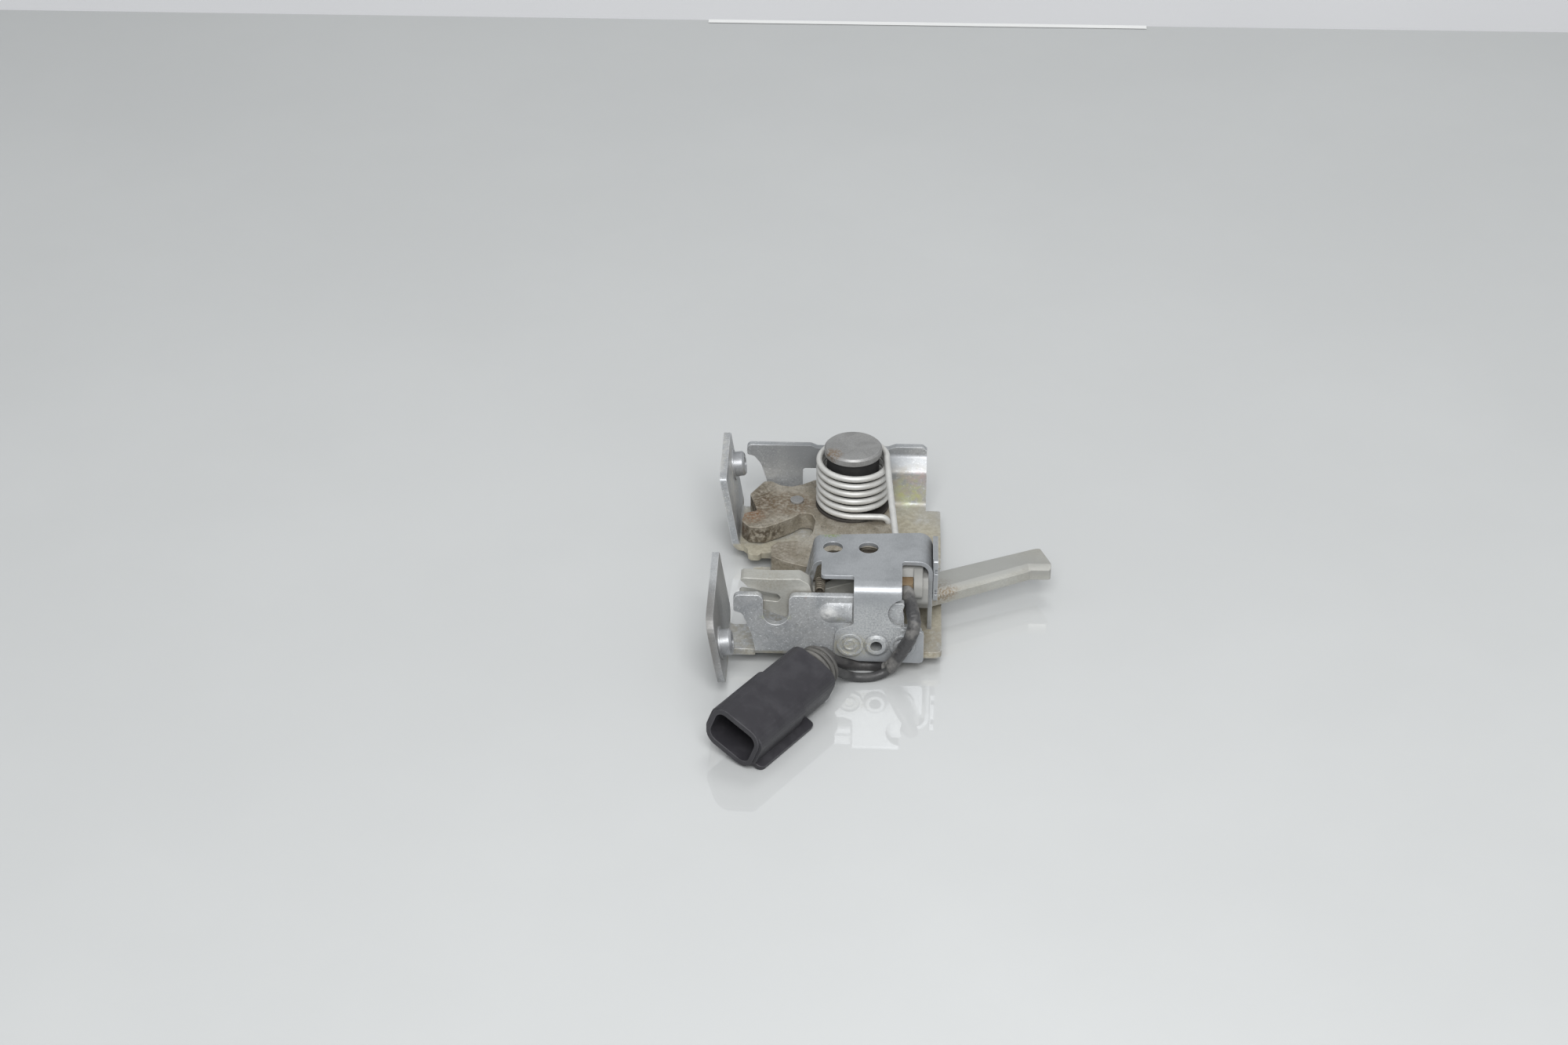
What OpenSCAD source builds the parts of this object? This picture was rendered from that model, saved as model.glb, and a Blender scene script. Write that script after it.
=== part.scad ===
// Hood lock: folded base plate, sprung claw, release lever, cover, switch, cable and plug.
// Millimetres, +Z up. The plate lies flat, and its feet stand on z = 0.
// The figures below are taken from a datum at the table, 27.3 mm left of and
// 8.9 mm in front of the pivot pin; origin_x and origin_y move the whole to its origin.

/* [Base plate] */
// Sheet thickness of the base plate
sheet_t = 2.6; // [2:0.1:3.2]
// Height of the plate's underside above the table
plate_z = 5; // [3:0.5:8]
// Right edge of the plate
plate_right = 62; // [58:0.5:66]
// Left edge of the plate between its two mounting flanges
plate_left = -10; // [-12:0.5:-8]
// Front edge of the flat plate
plate_front = -99.3; // [-101:0.1:-98]
// Inner radius of the plate's folds
fold_r = 2; // [1.5:0.1:3]
// Middle of the striker slot
slot_y = -38.8; // [-42:0.1:-36]
// Width of the striker slot
slot_w = 9.8; // [9:0.1:12]
// Depth of the striker slot, as the position of its closed end
slot_end = 11; // [6:0.5:16]

/* [Walls] */
// Front face of the back wall
back_y = 8; // [6:0.1:10]
// Front face of the back wall's leg, which stands nearer
leg_y = 2.8; // [2:0.1:4]
// Top of the back wall
back_top = 31.2; // [28:0.1:34]
// Outer face of the front wall
front_y = -101.2; // [-103:0.1:-100]
// Top of the front wall
front_top = 33; // [30:0.1:36]
// Width of the cable notch in the front wall
notch_w = 9.6; // [8:0.1:12]
// Bottom of the cable notch
notch_z = 20; // [16:0.5:24]

/* [Mounting flanges] */
// Outward lean of both mounting flanges, in degrees
flange_lean = 9; // [5:0.5:14]
// Top of the back flange
back_flange_top = 38; // [34:0.5:42]
// Top of the front flange
front_flange_top = 34; // [30:0.5:38]
// Radius of the clinch nuts' bodies
nut_r = 4.85; // [4.5:0.05:5.5]
// Radius of the clinch nuts' thread
thread_r = 2.5; // [2:0.1:3.3]
// Length of a clinch nut's body beyond the sheet
nut_len = 4.6; // [3:0.1:6]

/* [Claw] */
// Thickness of the claw
claw_t = 7; // [5:0.1:8]
// Underside of the claw
claw_z = 8.2; // [8:0.1:9]
// Radius of the claw's outer edge around the pivot, where the pawl rides
cam_r = 38.5; // [36:0.1:40]
// Depth of the claw's catch notch
catch_depth = 4.5; // [3:0.1:6]

/* [Pivot] */
// Pivot pin, left to right
pivot_x = 27.3; // [26:0.1:29]
// Pivot pin, front to back
pivot_y = -8.9; // [-10:0.1:-8]
// Radius of the pin's shank
shank_r = 6; // [5:0.1:7]
// Radius of the pin's head
head_r = 11.2; // [10:0.1:12]
// Top of the pin's head
head_top = 41.8; // [40:0.1:44]
// Thickness of the pin's head
head_t = 2.9; // [2:0.1:4]
// Radius of the collar that the claw turns on
collar_r = 7.6; // [7:0.1:9]
// Running clearance between the claw and its collar
run_gap = 0.06; // [0.02:0.01:0.1]

/* [Claw spring] */
// Wire diameter of the claw spring
wire_d = 2.45; // [2:0.05:3]
// Mean radius of the claw spring's coil
coil_r = 13.2; // [12:0.1:14]
// Number of turns in the claw spring
coil_turns = 5.75; // [4.75:1:7.75]
// Rise of each turn
coil_pitch = 3.4; // [2.8:0.1:4]

/* [Cover] */
// Sheet thickness of the cover
cover_t = 1.6; // [1.2:0.1:2]
// Top of the cover
cover_top = 38.4; // [36:0.1:42]
// Outer face of the cover's front flange
cover_front = -102.8; // [-104:0.1:-102]
// Outer face of the cover's right wall
cover_right = 58.2; // [56:0.1:60]
// Radius of the two holes in the cover
port_r = 3.7; // [3:0.1:4.5]
// Radius of the cable cut-out in the front flange
cut_r = 6.3; // [5:0.1:6.5]

/* [Release lever] */
// Lever pin, left to right
lever_x = 34.2; // [33:0.1:36]
// Lever pin, front to back
lever_y = -76; // [-78:0.1:-74]
// Radius of the lever pin
lever_pin_r = 4; // [3:0.1:5]
// Underside of the lever's bar
bar_z = 10.2; // [9.5:0.1:12]
// Height of the lever's bar
bar_h = 6; // [5:0.1:7]
// Chamfer along the bar's front edge
bar_chamfer = 2.2; // [1:0.1:2.5]
// Thickness of the cable hook, front to back
hook_t = 6.2; // [5:0.1:7]
// Front face of the cable hook
hook_y = -98; // [-98.3:0.1:-97]
// Right end of the lever's bar
lever_end = 103.9; // [100:0.1:108]

/* [Switch and cable] */
// Radius of the taped sleeve
sleeve_r = 2.5; // [2:0.1:3]
// Radius of each wire
wire_r = 2; // [1.6:0.1:2.2]
// Travel of the switch plunger
plunger_travel = 1.5; // [1:0.1:2]

/* [Plug] */
// Width of the plug's mouth
mouth_w = 17.9; // [15:0.1:20]
// Height of the plug's mouth
mouth_h = 13; // [10:0.1:15]
// Wall of the plug housing
plug_wall = 2.2; // [1.5:0.1:3]
// Length of the plug housing
plug_len = 48; // [44:1:52]
// Plug's rear end, front to back
plug_y = -120.4; // [-123:0.1:-119]
// Depth of the plug's mouth
mouth_depth = 22; // [15:1:28]

/* [Hidden] */

eps = 0.01;
origin_x = 39.745;
origin_y = -55.45;
plate_top = plate_z + sheet_t;
fold_out = fold_r + sheet_t;
claw_top = claw_z + claw_t;
pivot = [pivot_x, pivot_y];
lever_pivot = [lever_x, lever_y];
round_n = 96;

// Colours seen in the photograph
zinc = [0.69, 0.71, 0.73];
olive_zinc = [0.60, 0.58, 0.51];
claw_brown = [0.44, 0.39, 0.33];
spring_steel = [0.74, 0.75, 0.76];
pin_grey = [0.53, 0.53, 0.53];
black_rubber = [0.09, 0.09, 0.10];
plug_black = [0.07, 0.07, 0.08];
lever_beige = [0.61, 0.61, 0.58];

// Outline helpers: every corner is [x, y, radius], and r = 0 keeps it sharp

function unit(v) = v / norm(v);

function xy(p) = [p[0], p[1]];

function corner_arc(a, b, c, r, n = 6) =
  let (u = unit(a - b), w = unit(c - b), ang = acos(max(-1, min(1, u * w))),
       reach = r / tan(ang / 2), centre = b + unit(u + w) * r / sin(ang / 2),
       s = b + u * reach - centre, e = b + w * reach - centre,
       a0 = atan2(s[1], s[0]), a1 = atan2(e[1], e[0]),
       sweep = ((a1 - a0 + 540) % 360) - 180)
  [for (i = [0:n]) centre + r * [cos(a0 + sweep * i / n), sin(a0 + sweep * i / n)]];

function rounded(pts) =
  let (m = len(pts))
  [for (i = [0:m - 1])
     let (a = xy(pts[(i + m - 1) % m]), b = xy(pts[i]), c = xy(pts[(i + 1) % m]), r = pts[i][2])
     each (r > 0 ? corner_arc(a, b, c, r) : [b])];

function around(centre, r, a) = centre + r * [cos(a), sin(a)];

// Path and tube helpers for wires, springs and the cable

function spline_at(p0, p1, p2, p3, t) =
  0.5 * (2 * p1 + (p2 - p0) * t + (2 * p0 - 5 * p1 + 4 * p2 - p3) * t * t
         + (3 * p1 - p0 - 3 * p2 + p3) * t * t * t);

function smooth(p, n) =
  let (m = len(p))
  concat([for (i = [0:m - 2], k = [0:n - 1])
            spline_at(p[max(i - 1, 0)], p[i], p[i + 1], p[min(i + 2, m - 1)], k / n)],
         [p[m - 1]]);

function tangents(p) =
  let (m = len(p))
  [for (i = [0:m - 1]) unit(p[min(i + 1, m - 1)] - p[max(i - 1, 0)])];

function carried(n, t) = unit(n - (n * t) * t);

function normals(t, i, n) =
  i == len(t) ? [] : let (k = carried(n, t[i])) concat([k], normals(t, i + 1, k));

module tube(path, r, sides, first = [0.11, 0.23, 1]) {
  t = tangents(path);
  nn = normals(t, 0, first);
  rings = [for (i = [0:len(path) - 1], k = [0:sides - 1])
             let (b = cross(t[i], nn[i]), a = 360 * k / sides)
             path[i] + r * (cos(a) * nn[i] + sin(a) * b)];
  last = (len(path) - 1) * sides;
  walls = [for (i = [0:len(path) - 2], k = [0:sides - 1])
             let (a = i * sides + k, b = i * sides + (k + 1) % sides)
             each [[a, a + sides, b], [b, a + sides, b + sides]]];
  start = [[for (k = [0:sides - 1]) k]];
  end = [[for (k = [sides - 1:-1:0]) last + k]];
  polyhedron(rings, concat(walls, start, end));
}

module placed() {
  translate([-origin_x, -origin_y, 0]) children();
}

module at_pivot(z = 0) {
  translate([pivot_x, pivot_y, z]) children();
}

module disc(r, z0, z1) {
  translate([0, 0, z0]) cylinder(r = r, h = z1 - z0, $fn = round_n);
}

module ring(r_in, r_out, z0, z1) {
  difference() {
    disc(r_out, z0, z1);
    disc(r_in, z0 - 1, z1 + 1);
  }
}

// An outline drawn in x and z, standing up with its front face at y
module upright(y, t) {
  translate([0, y + t, 0]) rotate([90, 0, 0]) linear_extrude(t) children();
}

// An outline drawn in y and z, with its left face at x
module sideways(x, t) {
  translate([x, 0, 0]) rotate([90, 0, 90]) linear_extrude(t) children();
}

// A fold's section: part of a ring between two angles, centred on the fold's axis
module fold_section(r_in, r_out, a0, a1) {
  reach = 2 * r_out;
  mid = (a0 + a1) / 2;
  intersection() {
    difference() {
      circle(r = r_out, $fn = 64);
      circle(r = r_in, $fn = 64);
    }
    polygon([[0, 0], reach * [cos(a0), sin(a0)], reach * 1.4 * [cos(mid), sin(mid)],
             reach * [cos(a1), sin(a1)]]);
  }
}

// Base plate

module plate_outline() {
  polygon(rounded([
    [plate_right, plate_front, 2.5],
    [plate_right, -1.5, 1],
    [56.3, -1.5, 0],
    [56.3, leg_y - fold_r, 0],
    [41.4, leg_y - fold_r, 0],
    [41.4, 4, 1.5],
    [7.2, 4, 0],
    [7.2, back_y - fold_r, 0],
    [-7.2, back_y - fold_r, 0],
    [-7.2, -0.5, 1],
    [back_fold_x, -0.5, 0],
    [back_fold_x, -29, 0],
    [-13.2, -31, 1],
    [-12.6, -35.6, 2.2],
    [-8.2, -35.6, 1.6],
    [-7.6, -33.9, 0.6],
    [slot_end, -33.9, 4],
    [slot_end, slot_y - slot_w / 2, 4],
    [plate_left - 0.4, slot_y - slot_w / 2, 1.5],
    [plate_left - 0.4, -48, 1],
    [plate_left, -52, 2],
    [plate_left, -83, 2],
    [front_fold_x, -83, 0],
    [front_fold_x, plate_front, 0],
    [-7.3, plate_front, 0],
    [-7.3, front_y + fold_out, 0],
    [54.4, front_y + fold_out, 0],
    [54.4, plate_front, 0]]));
}

back_inner_x = -21.2;
back_fold_x = back_inner_x + (back_flange_top - plate_top - fold_r) * tan(flange_lean)
              + fold_r * cos(flange_lean);
front_inner_x = -21.7;
front_fold_x = front_inner_x + (front_flange_top - plate_top - fold_r) * tan(flange_lean)
               + fold_r * cos(flange_lean);

// A run of a mounting flange's sheet: with its fold, or hanging free below the fold's start
module flange_run(fold_x, y0, y1, folded) {
  drop = folded ? 0 : 6;
  translate([fold_x, 0, plate_top + fold_r]) upright(y0, y1 - y0) {
    rotate(flange_lean) translate([-fold_out, -drop]) square([sheet_t, 40 + drop]);
    if (folded) fold_section(fold_r, fold_out, 180 + flange_lean, 270);
  }
}

module back_flange() {
  below = plate_z - 1;
  intersection() {
    union() {
      flange_run(back_fold_x, -29, -0.5, true);
      flange_run(back_fold_x, -0.5, 8, false);
    }
    sideways(-40, 30) polygon(rounded([
      [-29, below, 0], [-29, back_flange_top, 1.5], [7, back_flange_top, 2], [7, 5.8, 1.5],
      [1, 5.8, 1], [-0.5, 8.4, 0], [-0.5, below, 0]]));
  }
}

module front_flange() {
  below = plate_z - 1;
  intersection() {
    union() {
      flange_run(front_fold_x, plate_front, -83, true);
      flange_run(front_fold_x, -122, plate_front, false);
      flange_run(front_fold_x, -83, -72, false);
    }
    sideways(-40, 30) polygon(rounded([
      [-121.5, 5, 6], [-121.5, front_flange_top, 6], [-73, front_flange_top, 2],
      [-73, 8.4, 3], [-82.5, 6.4, 1], [-83, below, 0], [plate_front, below, 0],
      [-100, 5, 0]]));
  }
}

module back_wall() {
  bridge_z = 20.8;
  upright(back_y, sheet_t) polygon(rounded([
    [-7.2, plate_top + fold_r, 0],
    [7.2, plate_top + fold_r, 0],
    [7.2, bridge_z, 1.2],
    [41.4, bridge_z, 0],
    [41.4, 26.7, 0],
    [56.3, 26.7, 0],
    [56.3, 29.6, 0],
    [54.6, back_top, 1.5],
    [44, back_top, 2],
    [41, back_top - 1.2, 2],
    [13, back_top - 1.2, 2],
    [10.4, back_top, 1.5],
    [-14.9, back_top, 2],
    [-14.9, 26.8, 1],
    [-12, 26, 2],
    [-9.4, 22.5, 6],
    [-7.2, 15, 4]]));
  sideways(41.4, 14.9) polygon(rounded([
    [leg_y, plate_top + fold_r, 0],
    [leg_y, 22.4, 2.5],
    [back_y, 27.4, 2.5],
    [back_y, 29.6, 0],
    [back_y + sheet_t, 29.6, 0],
    [back_y + sheet_t, 26.2, 4],
    [leg_y + sheet_t, 21.2, 4],
    [leg_y + sheet_t, plate_top + fold_r, 0]]));
  translate([0, leg_y - fold_r, plate_top + fold_r])
    sideways(41.4, 14.9) fold_section(fold_r, fold_out, -90, 0);
  translate([0, back_y - fold_r, plate_top + fold_r])
    sideways(-7.2, 14.4) fold_section(fold_r, fold_out, -90, 0);
}

pillow_x0 = 16.5;
pillow_x1 = 28.6;
pillow_z = 25.9;
pillow_half = 4.4;
pillow_out = 1.4;

module front_wall_outline() {
  mid = 0.5;
  half = notch_w / 2;
  difference() {
    polygon(rounded([
      [-7.3, plate_z + fold_out, 0],
      [54.4, plate_z + fold_out, 0],
      [54.4, 18.5, 1.5],
      [47.8, 20, 0],
      [47.8, 30.5, 1],
      [41.5, 30.5, 0],
      [41.5, front_top, 1],
      [mid + half, front_top, 2.5],
      [mid + half, notch_z, 4.7],
      [mid - half, notch_z, 4.7],
      [mid - half, front_top, 2.5],
      [-15.2, front_top, 2.5],
      [-15.2, 26, 1],
      [-12, 25, 2],
      [-8.2, 15, 6]]));
    translate([54, 26.9]) circle(r = cut_r + 0.4, $fn = 64);
  }
}

module front_wall() {
  upright(front_y, sheet_t) front_wall_outline();
  translate([0, front_y + fold_out, plate_z + fold_out])
    sideways(-7.3, 61.7) fold_section(fold_r, fold_out, 180, 270);
  pillow();
}

// A pillow pressed outwards beside the cable notch
module pillow() {
  r = (pillow_half * pillow_half + pillow_out * pillow_out) / (2 * pillow_out);
  translate([pillow_x0 + pillow_half, front_y - pillow_out + r, pillow_z]) intersection() {
    union() {
      sphere(r = r, $fn = round_n);
      rotate([0, 90, 0]) disc(r, 0, pillow_x1 - pillow_x0 - pillow_half);
    }
    translate([-20, -r - 1, -20]) cube([40, pillow_out + 1 + eps, 40]);
  }
}

module base_plate() {
  color(olive_zinc) placed() {
    difference() {
      translate([0, 0, plate_z]) linear_extrude(sheet_t) plate_outline();
      at_pivot() disc(shank_r, plate_z - 1, plate_top + 1);
      translate([lever_x, lever_y, 0]) disc(lever_pin_r, plate_z - 1, plate_top + 1);
      translate([20.9, -76.1, 0]) disc(3, plate_z - 1, plate_top + 1);
    }
    back_wall();
    front_wall_with_holes();
    difference() {
      back_flange();
      back_nut_axis() disc(nut_pilot_r, -1, 8);
    }
    difference() {
      front_flange();
      front_nut_axis() disc(nut_pilot_r, -1, 8);
    }
    for (x = [-9.5, 56])
      translate([x, -88, 0]) disc(1.4, 0, plate_z + eps);
  }
}

module front_wall_with_holes() {
  difference() {
    front_wall();
    rivet_axis() disc(rivet_r, -8, 1);
  }
}

// Clinch nuts in the two flanges; local z runs outwards, 0 on the sheet's inner face

nut_pilot_r = 3.9;
back_nut_at = [-2, 19];
front_nut_at = [-113, 10.6];

module nut_frame(fold_x, at) {
  translate([fold_x, 0, plate_top + fold_r]) rotate([0, -flange_lean, 0])
    translate([-fold_r, at[0], at[1]]) rotate([0, -90, 0]) children();
}

module back_nut_axis() {
  nut_frame(back_fold_x, back_nut_at) children();
}

module front_nut_axis() {
  nut_frame(front_fold_x, front_nut_at) children();
}

module clinch_nut() {
  difference() {
    union() {
      disc(nut_r, -nut_len + 0.8, 0);
      translate([0, 0, -nut_len]) cylinder(r1 = nut_r - 0.8, r2 = nut_r, h = 0.8, $fn = round_n);
      disc(nut_r + 1.3, -0.6, 0);
      disc(nut_pilot_r, -eps, sheet_t - 0.2);
    }
    disc(thread_r, -nut_len - 1, sheet_t + 1);
  }
}

module back_clinch_nut() {
  color(zinc) placed() back_nut_axis() clinch_nut();
}

module front_clinch_nut() {
  color(zinc) placed() front_nut_axis() clinch_nut();
}

// Pivot

module pivot_pin() {
  color(pin_grey) placed() at_pivot() {
    disc(7.6, 0.6, plate_z);
    cylinder(r1 = 7, r2 = 7.6, h = 0.6, $fn = round_n);
    disc(shank_r, plate_z - eps, head_top - head_t + eps);
    disc(head_r, head_top - head_t, head_top - 0.7);
    translate([0, 0, head_top - 0.7])
      cylinder(r1 = head_r, r2 = head_r - 0.7, h = 0.7, $fn = round_n);
  }
}

washer_z = claw_top + 0.12;
washer_t = 1;

module pivot_collar() {
  color(pin_grey) placed() at_pivot() ring(shank_r, collar_r, plate_top, washer_z);
}

module pivot_washer() {
  color([0.25, 0.24, 0.23]) placed() at_pivot()
    ring(shank_r, 14.4, washer_z, washer_z + washer_t);
}

module spring_spool() {
  color(black_rubber) placed() at_pivot()
    ring(shank_r, 10.2, washer_z + washer_t, head_top - head_t);
}

// Claw spring: a leg hooked down into the claw, the coil, and a long leg to the cover

module torsion_spring() {
  z0 = washer_z + washer_t + wire_d / 2;
  steps = 20;
  total = floor(coil_turns * steps);
  coil = [for (i = [0:total])
            let (a = -90 - 360 * i / steps)
            [pivot_x + coil_r * cos(a), pivot_y + coil_r * sin(a),
             z0 + coil_pitch * i / steps]];
  leg_x = pivot_x + 14.2;
  leg_end_y = pivot_y - coil_r;
  foot = [[leg_x, leg_end_y, claw_top - 4.5], [leg_x, leg_end_y, z0 - 2.8],
          [leg_x - 0.5, leg_end_y, z0 - 1.4], [leg_x - 1.6, leg_end_y, z0 - 0.4],
          [leg_x - 3.4, leg_end_y, z0], [pivot_x + 4, leg_end_y, z0]];
  top = coil[total];
  arm = [[top[0] + 0.15, top[1] - 4, top[2]], [top[0] + 1.6, top[1] - 26, top[2] - 0.8],
         [top[0] + 3.4, top[1] - 50, top[2] - 1.5], [top[0] + 4.2, top[1] - 62, top[2] - 1.7]];
  color(spring_steel) placed() tube(concat(foot, coil, arm), wire_d / 2, 8, [0.3, 1, 0.2]);
}

// Claw

module claw_outline() {
  catch_a0 = 261;
  catch_a1 = 274;
  low = cam_r - catch_depth;
  function cam(r, a) = let (p = around(pivot, r, a)) [p[0], p[1], 0];
  polygon(rounded([
    [12, 8, 2.5], [7.3, 4.6, 2], [3, 2.7, 4], [-1.7, 3.7, 3], [-4.9, 6.4, 1], [-8, 6.3, 1],
    [-13.2, -3.3, 1], [-9.8, -15.3, 1.2], [-14.8, -17.2, 1.5], [-15.7, -23.2, 2.5],
    [-12.6, -27.2, 2], [-7, -27.7, 3], [-2, -24.6, 5], [4, -20, 3], [7.6, -16.1, 2.5],
    [11.5, -17, 2.5], [13.2, -22, 2], [12.2, -31, 3], [9.5, -36, 3], [-1.2, -37.6, 1.5],
    [-3.6, -41, 1.5], [-3.2, -47.6, 1], [2, -51.2, 2], [10, -54.5, 3], [16.4, -52.5, 2],
    cam(cam_r, catch_a0 - 2), cam(low, catch_a0), cam(low, catch_a1), cam(cam_r, catch_a1),
    cam(cam_r, 282), cam(cam_r, 290), cam(cam_r - 1, 298), cam(cam_r - 6, 306),
    [43.6, -30, 3], [44.2, -22, 4], [40.8, -8, 8], [38, 3, 6], [30, 6.3, 6], [20, 8.6, 4]]));
}

claw_rivet_at = [5.4, -7.7];

module claw() {
  color(claw_brown) placed() difference() {
    translate([0, 0, claw_z]) linear_extrude(claw_t) claw_outline();
    at_pivot() disc(collar_r + run_gap, claw_z - 1, claw_top + 1);
    translate([claw_rivet_at[0], claw_rivet_at[1], 0]) disc(2.6, claw_z - 1, claw_top + 1);
    translate([pivot_x + 14.2, pivot_y - coil_r, 0]) disc(wire_d / 2 + 0.2, claw_top - 5, claw_top + 1);
  }
}

module claw_rivet() {
  color(claw_brown) placed() translate([claw_rivet_at[0], claw_rivet_at[1], 0])
    disc(2.6, claw_z, claw_top + 0.8);
}

// Cover

cover_under = cover_top - cover_t;
left_fold_x = 17;
left_fold_out = 3.6;
left_lean = 12;
left_front = -95.2;
right_fold_out = 5.3;
front_fold_out = 4.9;

module cover_top_outline() {
  right_start = cover_right - right_fold_out;
  front_start = cover_front + front_fold_out;
  polygon(rounded([
    [left_fold_x, -67.7, 0],
    [right_start, -65.2, 0],
    [right_start, -85.1, 0],
    [46.8, -85.1, 1],
    [46.8, front_start, 0],
    [29.2, front_start, 0],
    [29.2, left_front, 0.8],
    [left_fold_x, left_front, 1.5]]));
}

module cover_front_flange() {
  upright(cover_front, cover_t) difference() {
    polygon(rounded([
      [29.2, cover_top - front_fold_out, 0],
      [29.2, 21.7, 1.5],
      [22.6, 19, 3],
      [21.8, 8.4, 1.5],
      [31, 5.6, 4],
      [55.2, 5.1, 1.8],
      [55.2, 18.8, 1.5],
      [46.8, 20, 0],
      [46.8, cover_top - front_fold_out, 0]]));
    translate([48.1, 26.9]) circle(r = cut_r, $fn = 64);
  }
}

module cover() {
  color(zinc) placed() {
    difference() {
      translate([0, 0, cover_under]) linear_extrude(cover_t) cover_top_outline();
      for (x = [20.95, lever_x])
        translate([x, -76.1, 0]) disc(port_r, cover_under - 1, cover_top + 1);
    }
    // left wall, leaning out, with a small hole
    translate([left_fold_x, 0, cover_top - left_fold_out]) difference() {
      intersection() {
        upright(-85.5, 17.8) {
          rotate(-left_lean) translate([-left_fold_out, -19]) square([cover_t, 19]);
          fold_section(left_fold_out - cover_t, left_fold_out, 90, 180 - left_lean);
        }
        sideways(-20, 30) polygon(rounded([
          [-86, 5, 0], [-85.5, -18.2, 3], [-67.7, -18.2, 2], [-67.7, 5, 0]]));
      }
      rotate([0, left_lean, 0]) sideways(-left_fold_out - 1, 4)
        translate([-76, -12]) circle(r = 1.7, $fn = 48);
    }
    // front fold and flange
    translate([0, cover_front + front_fold_out, cover_top - front_fold_out])
      sideways(29.2, 17.6) fold_section(front_fold_out - cover_t, front_fold_out, 90, 180);
    difference() {
      cover_front_flange();
      rivet_axis() disc(rivet_r, -8, 4);
    }
    // right wall, open below for the lever, with a foot on the plate
    translate([cover_right - right_fold_out, 0, cover_top - right_fold_out])
      upright(-85.1, 19.9) fold_section(right_fold_out - cover_t, right_fold_out, 0, 90);
    sideways(cover_right - cover_t, cover_t) polygon(rounded([
      [-65.2, cover_top - right_fold_out, 0], [-65.2, 20, 2], [-77.5, 20, 1],
      [-78.5, plate_top, 0], [-84, plate_top, 0], [-85.1, 20, 0],
      [-85.1, cover_top - right_fold_out, 0]]));
  }
}

// Clinch joints and the hollow rivet; local z runs out of the front flange's face

rivet_r = 3.6;
rivet_bore_r = 2.2;

module rivet_axis(x = 37.7, z = 13.1) {
  translate([x, cover_front, z]) rotate([90, 0, 0]) children();
}

module clinch_button(r) {
  disc(r - 0.3, 0, 0.3);
  ring(r - 1, r, 0, 0.9);
  ring(1.7, 2.4, 0.2, 0.8);
  disc(1.8, 0.2, 0.55);
}

module clinch_button_left() {
  color(zinc) placed() rivet_axis(28, 13.2) clinch_button(4.9);
}

module clinch_button_right() {
  color(zinc) placed() rivet_axis(47.4, 13) clinch_button(4.6);
}

module hollow_rivet() {
  color(zinc) placed() rivet_axis() difference() {
    union() {
      disc(rivet_r, -5.4, 0.1);
      disc(4.5, 0, 0.7);
      translate([0, 0, 0.7]) cylinder(r1 = 4.5, r2 = 3.5, h = 0.6, $fn = round_n);
      disc(3.9, -5.4, -cover_t - sheet_t);
    }
    disc(rivet_bore_r, -7, 3);
  }
}

// Release lever: bar, hub, pawl and cable hook turn together on the lever pin

hub_r = 8;
hub_z = 13.2;
link_z = 21;
link_top = 29;

bar_root = [64.6, -69.4];
bar_bend = [96.2, -52.9];
bar_edge = atan2(bar_bend[1] - bar_root[1], bar_bend[0] - bar_root[0]);

// One run of the bar, with its front edge chamfered; the two runs meet at the bend
module bar_run(turn, cut, pts) {
  side = 2 * cut * sin(45);
  difference() {
    translate([0, 0, bar_z]) linear_extrude(bar_h) polygon(rounded(pts));
    translate([bar_bend[0], bar_bend[1], bar_z + bar_h]) rotate([0, 0, turn]) rotate([45, 0, 0])
      cube([200, side, side], center = true);
  }
}

module release_lever() {
  color(lever_beige) placed() difference() {
    union() {
      bar_run(bar_edge, bar_chamfer, [
        [57, -59.8, 0], [96, -41.54, 0], [98, bar_root[1] + (98 - bar_root[0]) * tan(bar_edge), 0],
        [bar_root[0], bar_root[1], 0], [57, -73.4, 0]]);
      bar_run(0, 0.85 * bar_chamfer, [
        [92, -43.41, 0], [lever_end - 5.9, -40.6, 2], [lever_end - 4, -40.3, 1],
        [lever_end, -51, 1.5], [lever_end - 0.3, bar_bend[1], 1], [92, bar_bend[1], 0]]);
      translate([0, 0, hub_z]) linear_extrude(bar_z + bar_h - hub_z)
        polygon([[30, -69.5], [58, -59.3], [58, -73.9], [38, -83]]);
      translate([lever_x, lever_y, 0]) disc(hub_r, hub_z, link_top);
      translate([0, 0, link_z]) linear_extrude(link_top - link_z) polygon(rounded([
        [7.5, hook_y + hook_t, 0], [15, hook_y + hook_t, 1], [38, -81, 0], [36, -72, 0],
        [30, -76, 0], [18, -86.5, 2], [14.5, -88.3, 1], [7.5, -88.3, 0]]));
    }
    translate([lever_x, lever_y, 0]) disc(lever_pin_r + run_gap, hub_z - 1, link_top + 1);
  }
}

module cable_hook() {
  color(lever_beige) placed() upright(hook_y, hook_t) polygon(rounded([
    [-12.9, 37.7, 0.5], [-11.5, 38.5, 0.8], [-2.3, 38, 3], [9.2, 38.3, 2.5], [12.8, 35.8, 2.5],
    [13.9, 30.5, 2.5], [13.9, 22, 1], [5, 22, 0], [4.8, 20.4, 0.3], [3.9, 21.5, 1],
    [-4, 24.7, 2], [-8.5, 26.2, 2], [-13.2, 27.4, 1.2], [-13.3, 30.6, 1.2], [-9.8, 29.9, 1],
    [-4.5, 28.8, 3], [1.2, 28.2, 1.2], [2.4, 30, 0.9], [1, 31.6, 1.1], [-4.5, 32.6, 3],
    [-9.7, 34.3, 2], [-11.9, 36.8, 1]]));
}

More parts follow.
